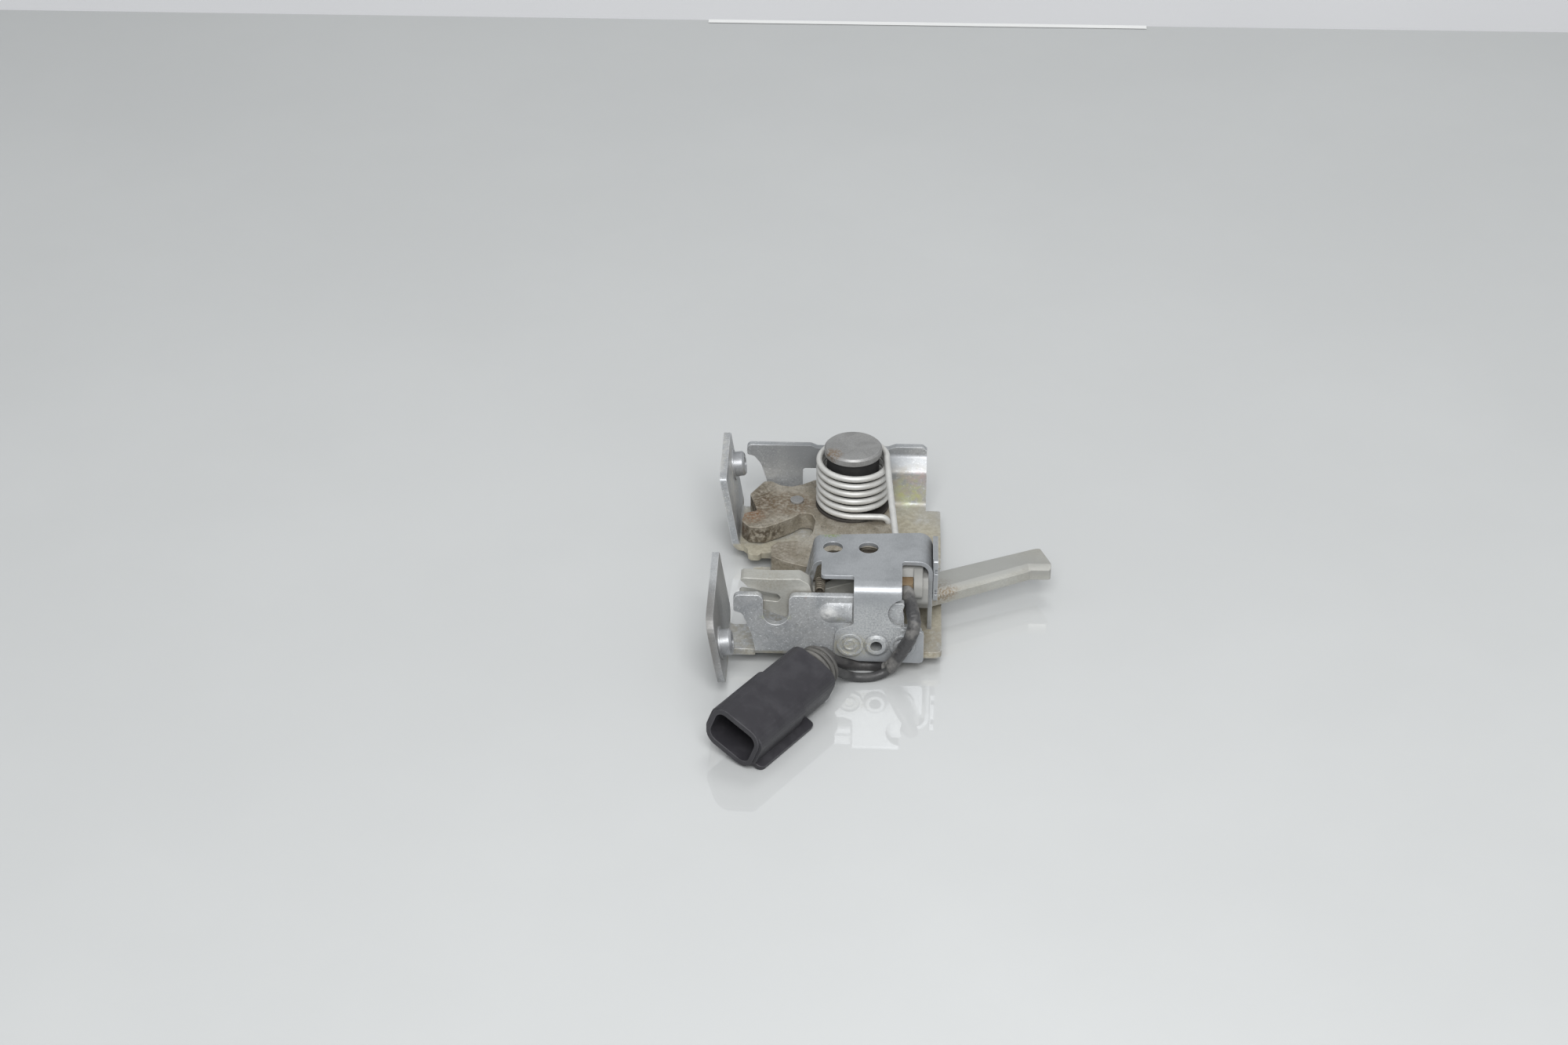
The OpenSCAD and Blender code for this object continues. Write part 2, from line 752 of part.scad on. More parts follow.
module pawl() {
  tip = around(pivot, cam_r + 0.5, -64.5);
  color(claw_brown) placed() difference() {
    union() {
      translate([lever_x, lever_y, 0]) disc(7, claw_z, hub_z);
      translate([0, 0, claw_z]) linear_extrude(hub_z - claw_z) polygon(rounded([
        [29, -72, 0], [tip[0] - 4.6, tip[1] - 4.2, 1], [tip[0], tip[1], 0.8],
        [tip[0] + 4.8, tip[1] - 1.2, 1.5], [tip[0] + 4, tip[1] - 9, 4], [40, -79, 0]]));
    }
    translate([lever_x, lever_y, 0]) disc(lever_pin_r + run_gap, claw_z - 1, hub_z + 1);
  }
}

module lever_pin() {
  color(pin_grey) placed() translate([lever_x, lever_y, 0]) {
    disc(5.4, 3.2, plate_z);
    disc(lever_pin_r, plate_z - eps, link_top + 6);
    disc(6.4, plate_top, claw_z - 0.12);
  }
}

module lever_spring() {
  steps = 16;
  total = 4.5 * steps;
  coil = [for (i = [0:total]) let (a = 200 + 360 * i / steps)
            [lever_x + 5.4 * cos(a), lever_y + 5.4 * sin(a), link_top + 0.8 + 1.25 * i / steps]];
  color(spring_steel) placed() tube(coil, 0.55, 8, [0.3, 1, 0.2]);
}

module spring_post() {
  color(pin_grey) placed() translate([20.9, -76.1, 0]) {
    disc(4, 3.6, plate_z);
    disc(3, plate_z - eps, 33.5);
    disc(3.6, 33.5, 34.6);
  }
}

module hook_spring() {
  steps = 14;
  total = 6 * steps;
  y0 = -97.2;
  coil = [for (i = [0:total]) let (a = 360 * i / steps)
            [16.6 + 1.5 * cos(a), y0 + 1.3 * i / steps, 32.6 + 1.5 * sin(a)]];
  tail = [[18.2, -88.4, 32.6], [18.2, -84, 32.3], [17.8, -78, 32]];
  lead = [[14.4, -97.6, 31.4], [15.8, -97.6, 31.2], [17.4, -97.5, 31.4]];
  color(spring_steel) placed() tube(concat(lead, coil, tail), 0.4, 8, [0.3, 0.2, 1]);
}

// Switch

switch_left = 46.6;
switch_wall = cover_right - cover_t;
plunger_at = [-79, 25];
plunger_r = 1.6;

module switch_body() {
  color([0.55, 0.53, 0.47]) placed() difference() {
    union() {
      sideways(switch_left, 8) polygon(rounded([
        [-71.5, 18.5, 1], [-86.5, 18.5, 2], [-89.6, 23, 3], [-88.6, 29, 3], [-83, 35.4, 3],
        [-71.5, 35.4, 1]]));
      sideways(switch_left, switch_wall - switch_left) polygon(rounded([
        [-71.5, 18.5, 1], [-86.5, 18.5, 2], [-89.6, 23, 3], [-88.6, 29, 2], [-86.2, 32, 1],
        [-71.5, 32, 1]]));
      sideways(switch_left + 4.6, 3.2) polygon(rounded([
        [-84, 26, 0], [-92, 25.5, 2], [-91, 32, 3], [-84, 35, 0]]));
    }
    translate([switch_left, plunger_at[0], plunger_at[1]]) rotate([0, 90, 0])
      disc(plunger_r + run_gap, -1, 7);
  }
}

module switch_plunger() {
  color(black_rubber) placed()
    translate([switch_left, plunger_at[0], plunger_at[1]]) rotate([0, 90, 0])
      disc(plunger_r, -2.6, 5);
}

module switch_potting() {
  color([0.36, 0.29, 0.22]) placed() translate([0, 0, 27.4]) linear_extrude(5.6)
    polygon(rounded([[46.2, -92, 1.2], [51, -92, 1.2], [51, -87, 0], [46.2, -87, 0]]));
}

// Strip outside the right wall, with two notches in its front edge
module edge_strip() {
  color(zinc) placed() difference() {
    sideways(cover_right, 1.9) polygon(rounded([
      [-66, 38, 1], [-66, 21, 2], [-85.5, 21, 1], [-85.5, 39, 1]]));
    for (z = [25.2, 34.3])
      translate([cover_right + 0.7, -86, z - 1]) cube([3, 2, 2]);
    translate([cover_right - 1, -86.5, 20]) cube([1.25, 3, 25]);
  }
}

// Cable: taped sleeve from the switch, then two wires on the table to the plug

// Plug: local x runs from the rear to the mouth, and the plug leans on its right edge
plug_at = [13.5, plug_y, 11.7];
plug_turn = -123.3;
plug_roll = -21.5;

function turned_z(p, a) = [p[0] * cos(a) - p[1] * sin(a), p[0] * sin(a) + p[1] * cos(a), p[2]];

function turned_x(p, a) = [p[0], p[1] * cos(a) - p[2] * sin(a), p[1] * sin(a) + p[2] * cos(a)];

function plug_point(x, y, z) = plug_at + turned_z(turned_x([x, y, z], plug_roll), plug_turn);

sleeve_points = [[48.5, -91, 30.2], [49.6, -96, 29], [50.8, -101, 27], [51.5, -105.6, 24],
                 [50.1, -106.6, 19], [47.4, -106.8, 13.5], [44.8, -106.2, 8.5],
                 [42.6, -105, 4.4], [41, -104.2, 3.6]];
black_points = [[42, -103.6, 3.9], [39, -101.5, 2.5], [36, -100.4, 2.1], [32, -100.3, 2.1],
                [28.6, -101.6, 3.2], [25.4, -105, 6], [22.4, -107.4, 9.2],
                plug_point(-10.5, -2.8, 2.4), plug_point(-6, -2.2, 1.6)];
grey_points = [[42, -105.7, 3.7], [39, -106.7, 2.3], [36, -107.6, 1.9], [32.4, -108, 1.85],
               [29, -108.4, 2.5], [26, -110.4, 4.8], [23.4, -112.4, 7.4],
               plug_point(-9.5, 2.8, -1), plug_point(-6, 2.6, -1)];

module cable_sleeve() {
  color(black_rubber) placed() tube(smooth(sleeve_points, 3), sleeve_r, 12);
}

module wire_black() {
  color(black_rubber) placed() tube(smooth(black_points, 3), wire_r, 8);
}

module wire_grey() {
  color([0.22, 0.23, 0.22]) placed() tube(smooth(grey_points, 3), wire_r - 0.25, 8);
}

module plug_frame() {
  translate(plug_at) rotate([0, 0, plug_turn]) rotate([plug_roll, 0, 0]) children();
}

module plug_block(x0, x1, w, h, r) {
  translate([x0, 0, 0]) rotate([90, 0, 90]) linear_extrude(x1 - x0)
    polygon(rounded([[-w / 2, -h / 2, r], [w / 2, -h / 2, r], [w / 2, h / 2, r], [-w / 2, h / 2, r]]));
}

module connector_housing() {
  out_w = mouth_w + 2 * plug_wall;
  out_h = mouth_h + 2 * plug_wall;
  color(plug_black) placed() plug_frame() difference() {
    union() {
      plug_block(0, plug_len, out_w - 0.9, out_h, 5.5);
      plug_block(20, plug_len - 1, out_w + 0.9, out_h - 2, 4.6);
      // wing along the right-hand lower side
      translate([0, 0, -6.8]) linear_extrude(1.8) polygon(rounded([
        [13, out_w / 2 - 3, 0], [13, out_w / 2 + 3.4, 2], [plug_len - 2, out_w / 2 + 3.4, 2.5],
        [plug_len - 2, out_w / 2 - 3, 0]]));
    }
    plug_block(plug_len - mouth_depth, plug_len + 1, mouth_w, mouth_h, 3.5);
    plug_block(-1, 9, mouth_w - 1, mouth_h - 0.5, 5);
  }
}

module connector_insert() {
  color([0.11, 0.11, 0.12]) placed() plug_frame() difference() {
    plug_block(plug_len - mouth_depth, plug_len - 12, 12, 7.5, 1);
    for (y = [-3, 3])
      translate([plug_len - mouth_depth - 1, y - 1, -0.4]) cube([mouth_depth, 2, 0.8]);
  }
}

module contact_pin(y) {
  translate([plug_len - mouth_depth, y - 1, -0.4]) cube([mouth_depth - 10, 2, 0.8]);
}

module contact_pin_left() {
  color([0.80, 0.79, 0.76]) placed() plug_frame() contact_pin(3);
}

module contact_pin_right() {
  color([0.80, 0.79, 0.76]) placed() plug_frame() contact_pin(-3);
}

module connector_boot() {
  color([0.16, 0.155, 0.15]) placed() plug_frame() rotate([0, 90, 0]) {
    disc(6.1, -7.8, 9);
    disc(7.4, -7.8, 0);
    for (i = [0:2])
      translate([0, 0, -2.5 * i - 2]) disc(9.1 - 0.35 * i, 0, 1.4);
  }
}

base_plate();
back_clinch_nut();
front_clinch_nut();
pivot_pin();
pivot_collar();
pivot_washer();
spring_spool();
torsion_spring();
claw();
claw_rivet();
cover();
clinch_button_left();
clinch_button_right();
hollow_rivet();
release_lever();
cable_hook();
pawl();
lever_pin();
lever_spring();
hook_spring();
spring_post();
switch_body();
switch_plunger();
switch_potting();
edge_strip();
cable_sleeve();
wire_black();
wire_grey();
connector_boot();
connector_housing();
connector_insert();
contact_pin_left();
contact_pin_right();
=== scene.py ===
"""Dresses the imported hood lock: camera, studio, cable, springs, plug and finishes.

Blender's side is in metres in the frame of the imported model. Places and sizes of pieces
are written in millimetres from the part's datum, as in the part's source, and colours in
0 to 255 steps. The camera and the cable come first, then the pieces that replace plain
solids, then the finishes and the studio.
"""

import logging
import math
from dataclasses import dataclass, field
from enum import Enum

import bmesh
import bpy
from mathutils import Matrix, Vector

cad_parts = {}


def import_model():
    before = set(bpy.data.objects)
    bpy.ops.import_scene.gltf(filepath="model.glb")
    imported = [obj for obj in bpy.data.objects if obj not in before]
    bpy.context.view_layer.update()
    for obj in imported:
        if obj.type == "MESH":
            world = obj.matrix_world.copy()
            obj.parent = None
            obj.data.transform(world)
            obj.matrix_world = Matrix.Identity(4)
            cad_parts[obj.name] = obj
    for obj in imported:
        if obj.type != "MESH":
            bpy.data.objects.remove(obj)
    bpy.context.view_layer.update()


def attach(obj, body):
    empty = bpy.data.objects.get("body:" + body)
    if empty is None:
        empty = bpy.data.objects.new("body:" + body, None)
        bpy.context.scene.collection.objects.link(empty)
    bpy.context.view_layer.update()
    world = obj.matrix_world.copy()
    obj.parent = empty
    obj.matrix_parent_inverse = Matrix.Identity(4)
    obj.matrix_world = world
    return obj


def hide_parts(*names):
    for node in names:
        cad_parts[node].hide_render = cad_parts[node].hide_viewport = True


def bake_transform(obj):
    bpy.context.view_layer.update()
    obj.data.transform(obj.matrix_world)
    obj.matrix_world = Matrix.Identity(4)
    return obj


LOG = logging.getLogger("hood_lock")
MM = 0.001
# where the part's datum lies in the frame
DATUM = Vector((-0.039745, 0.05545, 0.0))

Socket = bpy.types.NodeSocket
Material = bpy.types.Material
Piece = bpy.types.Object
Point = tuple[float, float, float]
Colour = tuple[float, float, float]
Span = tuple[float, float]


def from_datum(x: float, y: float, z: float) -> Vector:
    """Turn millimetres from the part's datum into the frame's metres."""
    return DATUM + Vector((x, y, z)) * MM


def srgb(red: float, green: float, blue: float) -> tuple[float, float, float, float]:
    """Turn a colour in 0 to 255 steps into the linear values that shaders take.

    Args:
        red: Red, 0 to 255.
        green: Green, 0 to 255.
        blue: Blue, 0 to 255.

    Returns:
        Linear red, green and blue, with an alpha of 1.
    """
    def line(step: float) -> float:
        """Return one channel's linear value."""
        part = step / 255
        return part / 12.92 if part <= 0.04045 else ((part + 0.055) / 1.055) ** 2.4

    return line(red), line(green), line(blue), 1.0


class Body(str, Enum):
    """The part's bodies; the cable and the seal ride on the housing."""

    HOUSING = "housing"
    CLAW = "claw"
    LEVER = "lever"


def put(name: str, data: bpy.types.ID) -> Piece:
    """Make an object of some data and link it to the scene.

    Args:
        name: Name of the object.
        data: Its mesh, line, lamp or camera.

    Returns:
        The object.
    """
    made = bpy.data.objects.new(name, data)
    bpy.context.scene.collection.objects.link(made)
    return made


# Node trees

# the Mix node's sockets for colours, which share their names with its other sockets
MIX_FIRST, MIX_SECOND, MIX_RESULT = 6, 7, 2
# rays for each rounded edge and each corner
SHADING_SAMPLES = 6
# height of the bump at full strength, in metres
BUMP_DEPTH = 0.0002


class Nodes:
    """A node tree, with short calls for adding and linking its nodes."""

    def __init__(self, tree: bpy.types.NodeTree) -> None:
        """Take the tree."""
        self.tree = tree

    def add(self, kind: str, operation: str = "", **sockets: object) -> bpy.types.Node:
        """Add a node and set or link its inputs by name.

        Args:
            kind: Blender's name of the node type.
            operation: Blender's name of its operation, where it has one.
            sockets: Input values or output sockets; "_" in a name stands for a space.

        Returns:
            The new node.
        """
        node = self.tree.nodes.new(kind)
        if operation:
            node.operation = operation
        self.feed(node, **sockets)
        return node

    def feed(self, node: bpy.types.Node, **sockets: object) -> None:
        """Set or link a node's inputs by name, as add does."""
        for name, value in sockets.items():
            self.give(node.inputs[name.replace("_", " ")], value)

    def give(self, socket: Socket, value: object) -> None:
        """Link an output to a socket, or set the socket to a value.

        Args:
            socket: The input socket.
            value: The output socket or the value.
        """
        if isinstance(value, Socket):
            self.tree.links.new(value, socket)
        else:
            socket.default_value = value

    def math(self, operation: str, *values: object, clamp: bool = False) -> Socket:
        """Add a Math node.

        Args:
            operation: Blender's name of the operation.
            values: Its operands.
            clamp: Whether the result is kept between 0 and 1.

        Returns:
            The result's socket.
        """
        node = self.add("ShaderNodeMath", operation)
        node.use_clamp = clamp
        for socket, value in zip(node.inputs, values):
            self.give(socket, value)
        return node.outputs[0]


class Graph(Nodes):
    """A material's node tree, with short calls for the nodes that finishes use."""

    def __init__(self, name: str) -> None:
        """Start a material with a Principled shader and object coordinates.

        Args:
            name: Name of the material.
        """
        self.material = bpy.data.materials.new(name)
        self.material.use_nodes = True
        super().__init__(self.material.node_tree)
        self.tree.nodes.clear()
        self.shader = self.add("ShaderNodeBsdfPrincipled")
        self.add("ShaderNodeOutputMaterial", Surface=self.shader.outputs[0])
        self.place = self.add("ShaderNodeTexCoord").outputs["Object"]

    def ramp(self, value: object, low: float, high: float,
             start: float = 0.0, end: float = 1.0) -> Socket:
        """Turn a span of values into another with soft ends.

        Args:
            value: The value's socket.
            low: Where the change begins.
            high: Where the change ends.
            start: The result at and below low.
            end: The result at and above high.

        Returns:
            The result's socket.
        """
        node = self.add("ShaderNodeMapRange", Value=value, From_Min=low, From_Max=high,
                        To_Min=start, To_Max=end)
        node.interpolation_type = "SMOOTHSTEP"
        return node.outputs[0]

    def noise(self, scale: float, detail: float = 3.0, rough: float = 0.55,
              stretch: Point = (1.0, 1.0, 1.0), twist: float = 0.0) -> Socket:
        """Add a noise in object coordinates.

        Args:
            scale: Cells to the metre.
            detail: Octaves.
            rough: Weight of the finer octaves.
            stretch: Factor on each axis.
            twist: Distortion.

        Returns:
            The noise's factor.
        """
        where = self.add("ShaderNodeMapping", Vector=self.place, Scale=stretch)
        node = self.add("ShaderNodeTexNoise", Vector=where.outputs[0], Scale=scale,
                        Detail=detail, Roughness=rough, Distortion=twist)
        return node.outputs["Fac"]

    def mix(self, factor: object, first: object, second: object,
            blend: str = "MIX") -> Socket:
        """Mix two colours.

        Args:
            factor: Share of the second.
            first: First colour or socket.
            second: Second colour or socket.
            blend: Blender's name of the blend.

        Returns:
            The mixed colour's socket.
        """
        node = self.add("ShaderNodeMix")
        node.data_type = "RGBA"
        node.blend_type = blend
        node.clamp_factor = True
        self.give(node.inputs["Factor"], factor)
        self.give(node.inputs[MIX_FIRST], first)
        self.give(node.inputs[MIX_SECOND], second)
        return node.outputs[MIX_RESULT]

    def near(self, centre: Vector, size: Point, soft: float) -> Socket:
        """Mask an ellipsoid.

        Args:
            centre: Its centre in the frame.
            size: Its half lengths along the axes, in millimetres.
            soft: Share of the size over which the mask fades.

        Returns:
            A socket that is 1 inside and 0 outside.
        """
        scale = [1 / (part * MM) for part in size]
        shift = [-place * factor for place, factor in zip(centre, scale)]
        where = self.add("ShaderNodeMapping", Vector=self.place, Scale=scale, Location=shift)
        reach = self.add("ShaderNodeVectorMath", "LENGTH", Vector=where.outputs[0])
        return self.ramp(reach.outputs["Value"], 1.0 - soft, 1.0 + soft, 1.0, 0.0)

    def edges(self, radius: float) -> tuple[Socket, Socket]:
        """Round the edges in shading.

        Args:
            radius: Radius of the rounding, in metres.

        Returns:
            The rounded normal, and a mask that is 1 on the edges.
        """
        bevel = self.add("ShaderNodeBevel", Radius=radius)
        bevel.samples = SHADING_SAMPLES
        true = self.add("ShaderNodeNewGeometry").outputs["Normal"]
        turn = self.add("ShaderNodeVectorMath", "DOT_PRODUCT", Vector=bevel.outputs[0])
        self.give(turn.inputs[1], true)
        return bevel.outputs[0], self.ramp(turn.outputs["Value"], 0.9, 0.995, 1.0, 0.0)

    def crevice(self, distance: float) -> Socket:
        """Find the corners.

        Args:
            distance: How far a corner's mask reaches, in metres.

        Returns:
            A mask that is 1 in corners and 0 on open faces.
        """
        node = self.add("ShaderNodeAmbientOcclusion", Distance=distance)
        node.samples = SHADING_SAMPLES
        return self.ramp(node.outputs["AO"], 0.35, 0.95, 1.0, 0.0)

    def surface(self, colour: Socket, rough: Socket, height: Socket, strength: float,
                normal: Socket) -> Material:
        """Wire the shader's colour, roughness and bump.

        Args:
            colour: The surface's colour.
            rough: Its roughness.
            height: Its relief.
            strength: Strength of the relief.
            normal: The normal that the relief is laid on.

        Returns:
            The finished material.
        """
        relief = self.add("ShaderNodeBump", Strength=strength, Distance=BUMP_DEPTH,
                          Normal=normal, Height=height)
        self.feed(self.shader, Base_Color=colour, Roughness=rough, Normal=relief.outputs[0])
        return self.material


# Finishes

# cells to the metre of the noises that the finishes share
FLECK_CELLS, BLOTCH_CELLS, PIT_CELLS, DUST_AND_SHEEN_CELLS = 1500.0, 260.0, 640.0, 120.0
# the noise values between which each mask grows from nothing to full
CLOUD_SPAN, FLECK_SPAN, BLOTCH_SPAN = (0.36, 0.64), (0.56, 0.7), (0.3, 0.7)
PIT_SPAN, RAGGED_SPAN, DUST_AND_SHEEN_SPAN, RUB_SPAN = (0.55, 0.66), (0.38, 0.6), (0.4, 0.68), (0.25, 0.6)
# how much brighter bare metal and the painted edge highlight are than the clean colour: a
# factor, and 0 to 255 steps
BARE_AND_HIGHLIGHT_GAIN, BARE_AND_HIGHLIGHT_LIFT = 1.25, 12
# how far the painted shade and grime of a corner reach, in metres
GRIME_AND_SHADE_REACH = 0.0035
# what grime and spots add to the roughness
GRIME_DULLS, SPOT_DULLS = 0.35, 0.25


@dataclass(frozen=True)
class Spot:
    """A patch of dirt, rust, paint, wear, painted shade or painted highlight at one place.

    It is an ellipsoid with its half lengths in size. Its grain is the cells to the metre
    of its ragged edges, and a grain of 0 makes it even.
    """

    at: Point
    size: Point
    colour: Colour
    amount: float = 0.8
    grain: float = 900.0
    soft: float = 0.45


@dataclass(frozen=True)
class Metal:
    """A rolled, pressed or plated metal surface with its wear and dirt, painted shade in its
    corners and a painted highlight on its edges.

    Colour and shade mottle the surface in clouds, and the grain gives it fine specks.
    Cloud and grain are in cells to the metre, and edge is the radius of the rounded edges
    in millimetres. The other values run from 0 to 1.
    """

    name: str
    colour: Colour
    shade: Colour
    dirt_and_shade: Colour
    metallic: float = 0.35
    rough: float = 0.4
    cloud: float = 90.0
    grain: float = 2500.0
    stretch: Point = (1.0, 1.0, 1.0)
    scratch: float = 0.35
    edge: float = 0.25
    edge_light: float = 0.5
    grime_and_shade: float = 0.5
    bump: float = 0.12
    sparkle: float = 0.0
    pits: float = 0.0
    spots: tuple[Spot, ...] = ()

    def build(self) -> Material:
        """Build the material.

        Returns:
            The finished material.
        """
        graph = Graph(self.name)
        cloud = graph.noise(self.cloud, 4.0, 0.6, twist=0.6)
        grain = graph.noise(self.grain, 4.0, 0.7, self.stretch)
        normal, rim = graph.edges(self.edge * MM)
        clean = self.clean(graph, cloud, grain, rim)
        base, dull = self.soil(graph, clean)
        graph.feed(graph.shader, Metallic=self.metallic)
        rough = graph.ramp(grain, 0.3, 0.7, self.rough - 0.06, self.rough + 0.08)
        return graph.surface(base, graph.math("ADD", rough, dull, clamp=True),
                             graph.math("ADD", grain, cloud), self.bump, normal)

    def clean(self, graph: Graph, cloud: Socket, grain: Socket, rim: Socket) -> Socket:
        """Colour the clean metal: clouds, specks, bright flecks, and a painted edge highlight
        that also stands for worn metal.

        Args:
            graph: The material's tree.
            cloud: The broad noise.
            grain: The fine noise.
            rim: The mask of the edges.

        Returns:
            The colour's socket.
        """
        base = graph.mix(graph.ramp(cloud, *CLOUD_SPAN), srgb(*self.colour),
                         srgb(*self.shade))
        speck = graph.ramp(grain, 0.35, 0.65,
                           1.0 - self.scratch * 0.5, 1.0 + self.scratch * 0.35)
        tone = graph.add("ShaderNodeCombineColor", Red=speck, Green=speck, Blue=speck)
        base = graph.mix(1.0, base, tone.outputs[0], "MULTIPLY")
        bare_and_highlight = srgb(*[min(255.0, part * BARE_AND_HIGHLIGHT_GAIN + BARE_AND_HIGHLIGHT_LIFT) for part in self.colour])
        fleck = graph.ramp(graph.noise(FLECK_CELLS, 3.0, 0.7), *FLECK_SPAN)
        base = graph.mix(graph.math("MULTIPLY", fleck, self.sparkle), base, bare_and_highlight)
        # painted highlight on the edges, also standing for worn bare metal
        return graph.mix(graph.math("MULTIPLY", rim, self.edge_light), base, bare_and_highlight)

    def soil(self, graph: Graph, clean: Socket) -> tuple[Socket, Socket]:
        """Lay painted shade with patches of grime into the corners, pits over the faces, and
        the spots.

        Args:
            graph: The material's tree.
            clean: The clean metal's colour.

        Returns:
            The soiled colour, and what is added to the roughness.
        """
        dirt_and_shade = srgb(*self.dirt_and_shade)
        blotch = graph.ramp(graph.noise(BLOTCH_CELLS, 5.0, 0.65), *BLOTCH_SPAN)
        # painted shade: the corners that ambient occlusion finds are darkened, in blotches that
        # also stand for grime
        corner = graph.math("MULTIPLY", graph.crevice(GRIME_AND_SHADE_REACH), blotch)
        base = graph.mix(graph.math("MULTIPLY", corner, self.grime_and_shade), clean, dirt_and_shade)
        pit = graph.ramp(graph.noise(PIT_CELLS, 5.0, 0.8, twist=0.3), *PIT_SPAN)
        base = graph.mix(graph.math("MULTIPLY", pit, self.pits), base, dirt_and_shade)
        dull = graph.math("MULTIPLY", corner, GRIME_DULLS)
        for spot in self.spots:
            patch = self.patch(graph, spot)
            base = graph.mix(patch, base, srgb(*spot.colour))
            dull = graph.math("ADD", dull, graph.math("MULTIPLY", patch, SPOT_DULLS))
        return base, dull

    def patch(self, graph: Graph, spot: Spot) -> Socket:
        """Mask one spot, with ragged edges where it has a grain.

        Args:
            graph: The material's tree.
            spot: The spot.

        Returns:
            The mask's socket.
        """
        whole = graph.near(from_datum(*spot.at), spot.size, spot.soft)
        if spot.grain == 0.0:
            return graph.math("MULTIPLY", whole, spot.amount)
        ragged = graph.ramp(graph.noise(spot.grain, 5.0, 0.65), *RAGGED_SPAN)
        return graph.math("MULTIPLY", graph.math("MULTIPLY", whole, ragged), spot.amount)


@dataclass(frozen=True)
class Moulded:
    """A moulded plastic or rubber surface with dust and scuffs, and on the tape painted sheen.

    The worn colour shows where dust lies and on rubbed edges; on the tape its dust streaks
    are painted sheen as well. Grain is in cells to the metre, and edge is the radius of the
    rounded edges in millimetres.
    """

    name: str
    colour: Colour
    worn_and_sheen: Colour
    rough: float = 0.5
    grain: float = 3000.0
    edge: float = 0.4
    wear: float = 0.4
    dust_and_sheen: float = 0.2
    bump: float = 0.15
    specular: float = 0.5

    def build(self) -> Material:
        """Build the material.

        Returns:
            The finished material.
        """
        graph = Graph(self.name)
        fine = graph.noise(self.grain, 3.0, 0.6)
        broad = graph.noise(DUST_AND_SHEEN_CELLS, 4.0, 0.6)
        normal, rim = graph.edges(self.edge * MM)
        # dust laid in broad streaks; on the tape the streaks are also painted sheen
        dust_and_sheen_mask = graph.math("MULTIPLY", graph.ramp(broad, *DUST_AND_SHEEN_SPAN), self.dust_and_sheen)
        base = graph.mix(dust_and_sheen_mask, srgb(*self.colour), srgb(*self.worn_and_sheen))
        patchy = graph.math("MULTIPLY", rim, graph.ramp(broad, *RUB_SPAN))
        rubbed = graph.math("MULTIPLY", patchy, self.wear)
        base = graph.mix(rubbed, base, srgb(*self.worn_and_sheen))
        graph.feed(graph.shader, Specular_IOR_Level=self.specular)
        rough = graph.ramp(fine, 0.3, 0.7, self.rough - 0.05, self.rough + 0.08)
        return graph.surface(base, graph.math("ADD", rough, dust_and_sheen_mask, clamp=True), fine,
                             self.bump, normal)


Finish = Metal | Moulded

ZINC = Metal(
    "zinc_plate", (167, 170, 173), (154, 157, 160), (100, 96, 88), metallic=0.45, rough=0.34,
    cloud=70.0, grain=2600.0, stretch=(1.0, 0.25, 1.0), scratch=0.14, edge=0.3,
    edge_light=0.8, grime_and_shade=0.45, bump=0.08, sparkle=0.12,
    spots=(
        Spot((20.0, -68.0, 38.4), (3.2, 1.6, 1.5), (138, 152, 92), 0.85, 1400.0),
        # painted shade darkening the cover's left wall
        Spot((12.0, -78.0, 33.0), (2.4, 15.0, 7.0), (108, 106, 100), 0.85, 500.0),
        Spot((34.0, -104.0, 20.0), (14.0, 4.0, 11.0), (204, 206, 205), 0.6, 1500.0),
        Spot((28.0, -104.0, 12.0), (9.0, 4.0, 5.0), (176, 172, 150), 0.6),
        Spot((47.0, -104.0, 22.0), (7.0, 4.0, 10.0), (206, 208, 208), 0.4, 1500.0),
    ))
